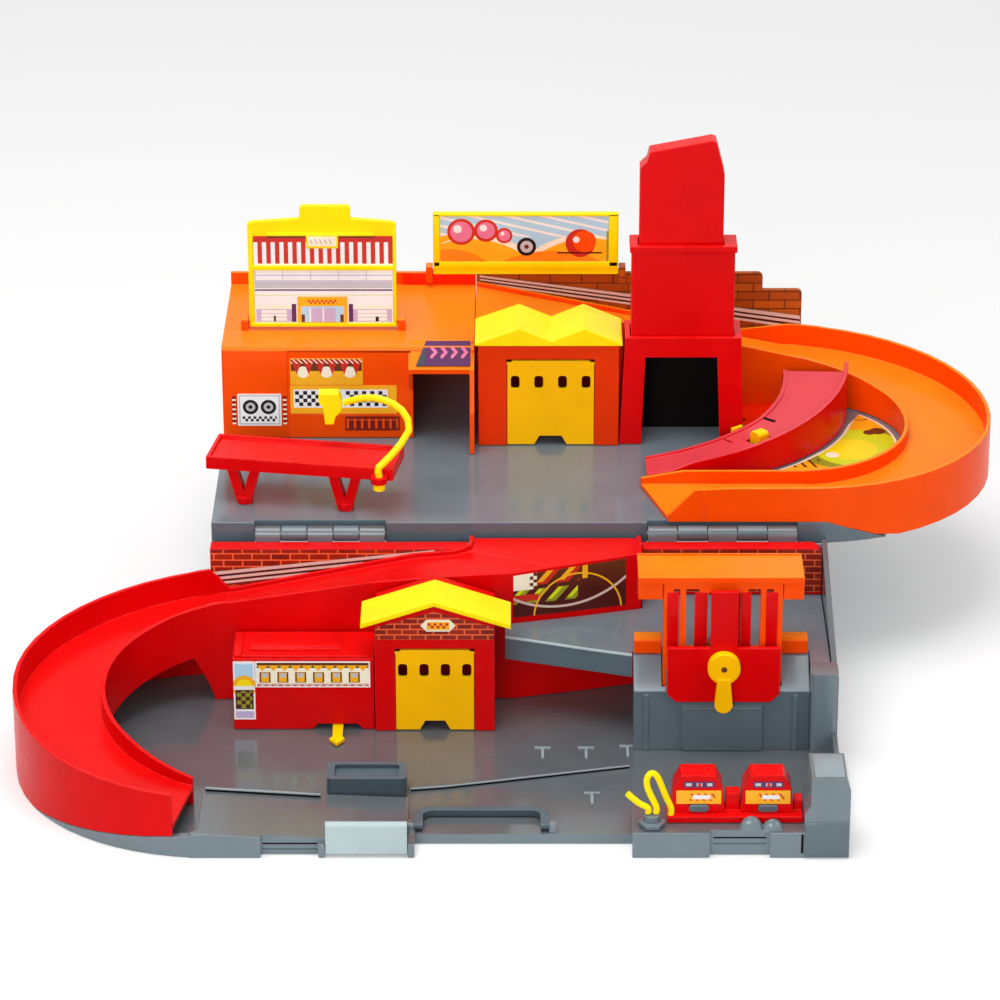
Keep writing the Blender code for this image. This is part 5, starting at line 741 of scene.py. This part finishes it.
# brick faces of the hinge walls and the gable; outlines are X and Z
brickLook = {"finish": (0.42, 0.1, 0.25, 0.08), "thick": 0.00025}
brickFaces = {
    "brick_face_left": {
        "on": "brick_wall_left", "y": -0.0143, "size": (10.8, 4.0),
        "outline": [(-0.1745, 0.056), (-0.0296, 0.056), (-0.0296, 0.0822), (-0.1745, 0.0822)]},
    "brick_face_right": {
        "on": "brick_wall_right", "y": -0.0143, "size": (10.8, 4.0),
        "outline": [(0.0705, 0.056), (0.1712, 0.056), (0.1712, 0.0822), (0.0705, 0.0822)]},
    "gable_brick_face": {
        "on": "red_garage_shell", "y": -0.09, "size": (8.6, 3.3),
        "outline": [(-0.0795, 0.063), (-0.014, 0.063), (-0.014, 0.0705), (-0.04675, 0.08),
                    (-0.0795, 0.0705)]},
}
for name, spec in brickFaces.items():
    look = makeFinish(name + "Print", "brick", *brickLook["finish"],
                      layers=[("bricks", "mortar", *spec["size"], "brick", "brickDark")])
    corners = [(x, spec["y"] - printGap, z) for x, z in spec["outline"]]
    settle(shapeFrom(name, corners, (0, -brickLook["thick"], 0)), spec["on"], look)
print("brick faces laid")

# guard rails along the lanes' back walls: a dark band with three raised bars between two low and high lines
rails = {
    "front_guard_rail": {
        "on": "brick_wall_left", "y": -0.01435,
        "left": (-0.1742, 0.0598, 0.0686), "right": (-0.048, 0.0752, 0.0824),
        "bars": ((0.8, 1.0), (0.44, 0.62), (0.1, 0.26))},  # each bar's share of the band's height
    "back_guard_rail": {
        "on": "parapet_wall", "y": 0.22145,
        "left": (-0.0238, 0.151, 0.1566), "right": (0.1712, 0.1212, 0.13),
        "bars": ((0.76, 1.0), (0.42, 0.6), (0.04, 0.22))},
}
railLook = {
    "band": (makeFinish("railBand", "maroon", 0.42, 0.05, 0.2), 0.00055),  # finish and thickness
    "bar": (makeFinish("railBar", "rail", 0.36, 0.05, 0.2), 0.001),
}
railSteps = 4


def layRail(name, spec, share, kind):
    pairs = []
    for step in range(railSteps + 1):
        x, *heights = (between(ends, step / railSteps) for ends in zip(spec["left"], spec["right"]))
        pairs.append([(x, spec["y"], between(heights, part)) for part in share])
    look, thick = railLook[kind]
    settle(stripFrom(name, pairs, (0, -thick, 0)), spec["on"], look)


for name, spec in rails.items():
    layRail(name + "_band", spec, (0, 1), "band")
    for number, share in enumerate(spec["bars"], 1):
        layRail(f"{name}_bar_{number}", spec, share, "bar")

# the mural on the slanting wall under the upper lane
mural = {
    "wall": (  # X and Y along its foot
        (-0.0032, -0.05001), (0.005, -0.048), (0.015, -0.0455), (0.025, -0.043),
        (0.035, -0.04044), (0.045, -0.03767), (0.055, -0.03489), (0.06, -0.0335)),
    "low": 0.0572,
    "high": (0.0828, 0.0862),  # its top at the two ends
    "thick": (0.00007, -0.00026, 0),
    "layers": [
        ("fade", "umber", -4, 62, 70, 88), ("box", "cream", -4, 10, 73.5, 87),
        ("checks", "umber", 6, 10, 73.5, 87, 2), ("slants", "awning", 10, 34, 76, 87, 12, 0.6, -0.9),
        ("slants", "sand", 10, 34, 77.5, 87, 12, 0.3, -0.9),
        ("slants", "olive", -4, 33, 65, 73.5, 11, 0.55, -0.9),
        ("slants", "lime", -4, 33, 66.5, 73.5, 11, 0.25, -0.9), ("box", "awning", -4, 11, 66.5, 70.5),
        ("disc", "rail", 24, 115, 54.5, 53), ("disc", "sand", 33, 56, 25, 24),
        ("box", "sand", 35.5, 38.5, 77, 87)],
}
muralPairs = []
for step, (x, y) in enumerate(mural["wall"]):
    high = between(mural["high"], step / (len(mural["wall"]) - 1))
    muralPairs.append([(x, y - printGap, mural["low"]), (x, y - printGap, high)])
muralLook = makeFinish("muralPrint", "maroon", 0.34, 0.05, 0.2, 0.05, layers=mural["layers"])
settle(stripFrom("wall_mural", muralPairs, mural["thick"]), "front_track", muralLook)

# the arrow panel on the slanting cover over the workshop doorway
arrowPanel = {
    "outline": ((-0.0604, 0.1098), (-0.0286, 0.1098), (-0.0286, 0.128), (-0.0548, 0.128)),
    "foot": (0.1137, 0.1441),  # Y and Z of a point on the cover, and its rise along Y
    "rise": 0.452,
    "lift": 0.0007,
    "thick": (0, -0.00016, 0.0004),
    "layers": [("box", "darkGrey", -61, -55.5, 109, 129), ("fade", "darkGrey", -61, -28, 122, 109)],
    "arrow": ((0.0, 0.115), (0.0012, 0.115), (0.0042, 0.1195), (0.0012, 0.124), (0.0, 0.124),
              (0.0, 0.122), (0.002, 0.1195), (0.0, 0.117)),
    "arrows": 4,
    "arrowStart": -0.052,
    "arrowStep": 0.006,
    "arrowLift": (0, -0.00012, 0.00036),
    "arrowThick": (0, -0.00008, 0.0002),
    "finish": (0.36, 0.05, 0.2, 0.05),
}


def coverPoint(x, y):
    footY, footZ = arrowPanel["foot"]
    return Vector((x, y, footZ + (y - footY) * arrowPanel["rise"] + arrowPanel["lift"]))


panelCorners = [coverPoint(*spot) for spot in arrowPanel["outline"]]
panel = shapeFrom("doorway_arrow_panel", panelCorners, arrowPanel["thick"])
panelLook = makeFinish("arrowPanelPrint", "plum", *arrowPanel["finish"], layers=arrowPanel["layers"], up="Y")
settle(panel, "deck_building", panelLook)
arrowLook = makeFinish("arrowPrint", "rose", *arrowPanel["finish"])
for number in range(arrowPanel["arrows"]):
    start = arrowPanel["arrowStart"] + number * arrowPanel["arrowStep"]
    corners = [coverPoint(start + x, y) + Vector(arrowPanel["arrowLift"]) for x, y in arrowPanel["arrow"]]
    arrow = shapeFrom(f"doorway_arrow_{number + 1}", corners, arrowPanel["arrowThick"])
    settle(arrow, "deck_building", arrowLook)

# the ground print in the loop beside the launch ramp, with its pale border
groundPrint = {
    "centre": (0.165, 0.113),
    "radius": 0.0585,
    "turns": (-104, 62, 24),  # the round side: from, to and steps
    "rampCentre": (0.072, 0.165),
    "rampReach": (0.108, 0.096),  # the ramp's middle line, and half its width
    "rampHalf": 0.0192,
    "rampTurns": (12, 84, 18),
    "margin": 0.0005,  # the ramp side ends this far before the round side
    "level": 0.09205,
    "thick": 0.00018,
    "border": 0.0016,
    "proud": 0.0002,
    "finish": (0.4, 0.05, 0.2, 0.05),
    "layers": [
        ("disc", "olive", 198, 117, 42), ("disc", "sand", 206, 150, 20), ("disc", "lime", 200, 106, 27),
        ("disc", "yellow", 196, 104, 15), ("disc", "umber", 213, 131, 4.8), ("disc", "umber", 208, 129, 3.6),
        ("disc", "cream", 184, 96, 4), ("disc", "umber", 204, 152, 5.2, 4.2),
        ("slants", "umber", 156, 176, 78, 90, 6, 0.3, 0.4)],
}


def groundOutline(inset):
    # the round side of the print and its hollow side along the ramp's outer wall
    centre, (wallX, wallY) = groundPrint["centre"], groundPrint["rampCentre"]
    wideX, wideY = (reach + groundPrint["rampHalf"] for reach in groundPrint["rampReach"])
    radius = groundPrint["radius"] - inset
    points = arc(centre, (radius, radius), *groundPrint["turns"])
    hollow = arc((wallX, wallY), (wideX + inset, -wideY - inset), *groundPrint["rampTurns"])
    points += [spot for spot in hollow if math.dist(spot, centre) < radius - groundPrint["margin"]]
    return [(x, y) for x, y in points if ((x - wallX) / wideX) ** 2 + ((y - wallY) / wideY) ** 2 >= 1]


def layGround(name, inset, level, look):
    corners = [(x, y, level) for x, y in groundOutline(inset)]
    settle(shapeFrom(name, corners, (0, 0, groundPrint["thick"])), "rear_tray", look)


groundLook = makeFinish("groundPrint", "sand", *groundPrint["finish"], layers=groundPrint["layers"], up="Y")
borderLook = makeFinish("groundBorder", "cream", *groundPrint["finish"])
layGround("ground_print_border", 0.0, groundPrint["level"], borderLook)
layGround("ground_print", groundPrint["border"], groundPrint["level"] + groundPrint["proud"], groundLook)
print("rails, mural, panel and ground print laid")

# raised blocks: roof plates, panels, a dark panel as painted shade inside the tower, a painted shade strip on
# the deck's rim, the corner post's plates and dark strips as painted shade for its slot and the front's
# grooves
liftPanels = ((80.8, 87.2), (95.8, 102.6), (121.4, 126.8), (134.8, 141.4))  # their left and right sides
raised = {  # carrier, finish, low corner, high corner and rounding, in millimetres
    "roof_plate": ("snack_shop", "red", (-150, -78, 50), (-99, -60, 51.1), 0.4),
    "roof_plate_rim": ("snack_shop", "red", (-148, -76.2, 51), (-101, -61.8, 51.6), 0.3),
    "roof_curb_left": ("snack_shop", "red", (-158, -86, 50), (-154, -56, 51.4), 0.5),
    "roof_curb_front": ("snack_shop", "red", (-154, -86.8, 50), (-83, -83.8, 51.2), 0.5),
    "workshop_corner_panel": ("deck_building", "orange", (-173.8, 120.5, 93.5), (-136.6, 121.6, 148.4), 0.5),
    **{f"lift_panel_{number}": ("lift_frame", "red", (left, -107.4, 66), (right, -106.8, 100), 0.2)
       for number, (left, right) in enumerate(liftPanels, 1)},
    # painted shade: a dark panel for the shade inside the tower
    "tower_back_panel": ("tower_base", "shadow", (64, 137.6, 92.5), (127.2, 138.1, 156), 0.1),
    # painted shade: a redder strip for the shade on the deck rim's front face
    "deck_rim_strip": ("deck_building", "flame", (-70.8, 220.9, 150.3), (-26.8, 221.6, 157.7), 0.3),
    "post_top_plate": ("front_tray", "midGrey", (156, -222.2, 46.8), (171.8, -196.8, 47.6), 0.4),
    "post_foot": ("front_tray", "grey", (151.2, -225.6, 0.8), (174.8, -224, 21.2), 0.6),
    # painted shade: a dark strip for the shade in the post's slot
    "post_slot": ("front_tray", "shadow", (149.4, -224.9, 3), (150.6, -224.3, 14.2), 0.2),
    # painted shade: dark strips for the shade in the notch's grooves
    "notch_groove_high": ("front_tray", "shadow", (103, -221.3, 10), (131, -220.8, 10.8), 0.2),
    "notch_groove_low": ("front_tray", "darkGrey", (103, -221.3, 6.6), (131, -220.8, 7.2), 0.2),
    # painted shade: dark strips for the shade in the step's grooves
    "step_groove_high": ("front_tray", "shadow", (-136.2, -220.8, 6.2), (-107, -220.3, 7), 0.2),
    "step_groove_low": ("front_tray", "darkGrey", (-136.2, -220.8, 3), (-107, -220.3, 3.6), 0.2),
    "loop_joint_rib": ("rear_track", "orange", (104.2, 0.9, 92.8), (105.6, 1.7, 110.5), 0.3),
}
for name, (carrier, finish, low, high, soften) in raised.items():
    settle(blockFrom(name, low, high, soften), carrier, finishes[finish])
underfloor = {  # the red floor behind the ramp's foot
    "outline": ((0.134, 0.1362), (0.1515, 0.1362), (0.1562, 0.16), (0.1566, 0.1735), (0.134, 0.1735)),
    "level": 0.09202,
    "thick": 0.0005,
    "soften": 0.0002,
}
floorCorners = [(x, y, underfloor["level"]) for x, y in underfloor["outline"]]
floorPlate = shapeFrom("loop_underfloor", floorCorners, (0, 0, underfloor["thick"]), underfloor["soften"])
settle(floorPlate, "rear_tray", finishes["flame"])
kerbs = {  # raised lips on the front floor: their line, and the heights of the lip at its two ends
    "road_kerb": {
        "line": ((-0.169, -0.1763), (-0.148, -0.1763), (-0.127, -0.1763), (-0.107, -0.1763)),
        "low": (0.0144, 0.0104), "tall": 0.002, "thick": 0.0014},
    "floor_kerb": {
        "line": ((-0.059, -0.1612), (-0.04, -0.1582), (-0.01, -0.1512), (0.022, -0.1434),
                 (0.0608, -0.1342)),
        "low": (0.0061, 0.0061), "tall": 0.0018, "thick": 0.0018},
}
# painted shadow: a dark strip along each kerb's foot, where its shadow falls
kerbPaintedShadow = {"forward": 0.0002, "share": 0.6, "thick": 0.0003}  # the dark line at a kerb's foot
kerbRound = 0.0002


def layKerb(name, spec, tall, thick, forward, finish):
    # a strip that stands on a kerb's line
    pairs = []
    for step, (x, y) in enumerate(spec["line"]):
        low = between(spec["low"], step / (len(spec["line"]) - 1))
        pairs.append([(x, y - forward, low), (x, y - forward, low + tall)])
    settle(stripFrom(name, pairs, (0, thick, 0), kerbRound), "front_tray", finishes[finish])


for name, spec in kerbs.items():
    layKerb(name + "_lip", spec, spec["tall"], spec["thick"], 0.0, "midGrey")
    # painted shadow along the kerb's foot
    tall = spec["tall"] * kerbPaintedShadow["share"]
    layKerb(name + "_shade", spec, tall, kerbPaintedShadow["thick"], kerbPaintedShadow["forward"], "shadow")

# painted highlight: the pale lip on the slanting front edge of the upper platform, for the light that edge
# catches
noseHighlight = {
    "line": ((-0.0078, -0.0684), (0.016, -0.0764), (0.04, -0.0845), (0.0625, -0.0912)),
    "heights": (0.0529, 0.0543),
    "thick": 0.0016,
    "soften": 0.0004,
}
highlightPairs = [[(x, y, z) for z in noseHighlight["heights"]] for x, y in noseHighlight["line"]]
settle(stripFrom("platform_painted_highlight", highlightPairs, (0, noseHighlight["thick"], 0), noseHighlight["soften"]), "upper_platform",
       finishes["paleGrey"])

# the T marks of the parking places
parkingMarks = {
    "spots": ((0.013, -0.116), (0.037, -0.116), (0.06, -0.114), (0.0395, -0.169)),
    "outline": ((-0.0008, -0.0065), (0.0008, -0.0065), (0.0008, 0.0049), (0.0045, 0.0049), (0.0045, 0.0065),
                (-0.0045, 0.0065), (-0.0045, 0.0049), (-0.0008, 0.0049)),
    "level": 0.0059,
    "thick": 0.0009,
    "soften": 0.0001,
}
for number, (x, y) in enumerate(parkingMarks["spots"], 1):
    corners = [(x + dx, y + dy, parkingMarks["level"]) for dx, dy in parkingMarks["outline"]]
    mark = shapeFrom(f"parking_mark_{number}", corners, (0, 0, parkingMarks["thick"]), parkingMarks["soften"])
    settle(mark, "front_tray", finishes["midGrey"])

# the cap in the middle of the crank
crankHub = {
    "centre": (0.112, 0.06),
    "face": -0.12135,
    "radius": (0.0017, 0.0017),
    "thick": 0.0003,
    "soften": 0.0001,
    "corners": 16,
}
hubRound = arc(crankHub["centre"], crankHub["radius"], 0, 360, crankHub["corners"])[:-1]
hubCorners = [(x, crankHub["face"], z) for x, z in hubRound]
hub = shapeFrom("crank_hub_cap", hubCorners, (0, -crankHub["thick"], 0), crankHub["soften"])
settle(hub, "crank_handle", makeFinish("hubBrown", "umber", 0.4, 0.02))

# the lozenge on the gable
badge = {
    "outline": ((-0.0545, 0.0718), (-0.0511, 0.0682), (-0.0383, 0.0682), (-0.0349, 0.0718), (-0.0383, 0.0754),
                (-0.0511, 0.0754)),
    "face": -0.09035,
    "thick": 0.0005,
    "soften": 0.00015,
    "layers": [
        ("box", "sand", -50.9, -38.5, 69.4, 74.2), ("checks", "awning", -50.3, -39.1, 70.2, 73.4, 1.6)],
}
badgeLook = makeFinish("badgePrint", "cream", 0.34, 0.05, 0.2, layers=badge["layers"])
badgeCorners = [(x, badge["face"], z) for x, z in badge["outline"]]
lozenge = shapeFrom("gable_badge", badgeCorners, (0, -badge["thick"], 0), badge["soften"])
settle(lozenge, "red_garage_shell", badgeLook)

# painted shade: dark plates for the slots in the ramp's floor, which climbs away from its foot
rampSlots = {
    "spots": ((0.1466, 0.1118, 0.10826), (0.1292, 0.1188, 0.10618)),
    "outline": ((-0.0046, 0.0026), (0.0034, -0.0042), (0.0046, -0.0026), (-0.0034, 0.0042)),
    "slope": (0.081, 0.101),
    "thick": 0.00025,
}
for number, (x, y, z) in enumerate(rampSlots["spots"], 1):
    slopeX, slopeY = rampSlots["slope"]
    corners = [(x + dx, y + dy, z + dx * slopeX + dy * slopeY) for dx, dy in rampSlots["outline"]]
    slot = shapeFrom(f"ramp_slot_painted_shade_{number}", corners, (0, 0, rampSlots["thick"]))
    settle(slot, "launch_ramp", finishes["shadow"])
print("raised shapes made")


# stage: pale floor, soft light and the camera
stage = {
    "floorSize": 12.0,
    "floorLevel": -0.0002,
    "floorShade": (0.82, 0.82, 0.82, 1.0),
    "floorRoughness": 0.9,
    "floorGlow": 0.22,  # only as the camera and reflections see it
    "background": (1.0, 1.0, 1.0, 1.0),
    "worldLight": 0.52,
    "target": (0.0, 0.0, 0.086),
    "elevation": 24.8,  # degrees above the horizon
    "distance": 2.516,
    "lens": 159.37,
    "shift": (-0.0191, 0.0333),
    "lamps": (  # place, size across and power
        ("topLamp", (-0.3, -0.3, 1.9), 1.4, 19.0),
        ("sideLamp", (1.5, -1.2, 1.1), 0.9, 6.0),
        ("frontLamp", (-0.5, -2.4, 0.9), 1.3, 20.0)),
}


def rayMask(tree):
    # 1 for what the camera, reflections and clear parts see, 0 for light on the object
    path = addNode(tree, "LightPath").outputs
    mirrored = maths(tree, "MAXIMUM", path["Is Glossy Ray"], path["Is Transmission Ray"])
    return maths(tree, "MAXIMUM", path["Is Camera Ray"], mirrored)


world = bpy.data.worlds.new("studio")
bpy.context.scene.world = world
world.use_nodes = True
sky = world.node_tree.nodes["Background"]
sky.inputs["Color"].default_value = stage["background"]
strength = spread(world.node_tree, rayMask(world.node_tree), (0.0, 1.0), (stage["worldLight"], 1.0))
world.node_tree.links.new(strength, sky.inputs["Strength"])

bpy.ops.mesh.primitive_plane_add(size=stage["floorSize"], location=(0, 0, stage["floorLevel"]))
floor = bpy.context.object
floor.name = "studio_floor"
ground = bpy.data.materials.new("paleFloor")
ground.use_nodes = True
shader = ground.node_tree.nodes["Principled BSDF"]
shader.inputs["Base Color"].default_value = stage["floorShade"]
shader.inputs["Roughness"].default_value = stage["floorRoughness"]
shader.inputs["Specular IOR Level"].default_value = 0.0
shader.inputs["Emission Color"].default_value = stage["background"]
glow = maths(ground.node_tree, "MULTIPLY", rayMask(ground.node_tree), stage["floorGlow"])
ground.node_tree.links.new(glow, shader.inputs["Emission Strength"])
floor.data.materials.append(ground)

target = Vector(stage["target"])
for name, spot, size, power in stage["lamps"]:
    light = bpy.data.lights.new(name, "AREA")
    light.shape = "DISK"
    light.size = size
    light.energy = power
    lamp = bpy.data.objects.new(name, light)
    bpy.context.scene.collection.objects.link(lamp)
    lamp.location = spot
    lamp.rotation_euler = (target - Vector(spot)).to_track_quat("-Z", "Y").to_euler()

tilt = math.radians(stage["elevation"])
lensData = bpy.data.cameras.new("camera")
lensData.lens = stage["lens"]
lensData.shift_x, lensData.shift_y = stage["shift"]
camera = bpy.data.objects.new("camera", lensData)
bpy.context.scene.collection.objects.link(camera)
camera.location = target + Vector((0, -math.cos(tilt), math.sin(tilt))) * stage["distance"]
camera.rotation_euler = (math.radians(90) - tilt, 0, 0)
bpy.context.scene.camera = camera
bpy.context.scene.view_settings.view_transform = "Standard"
print("stage set")
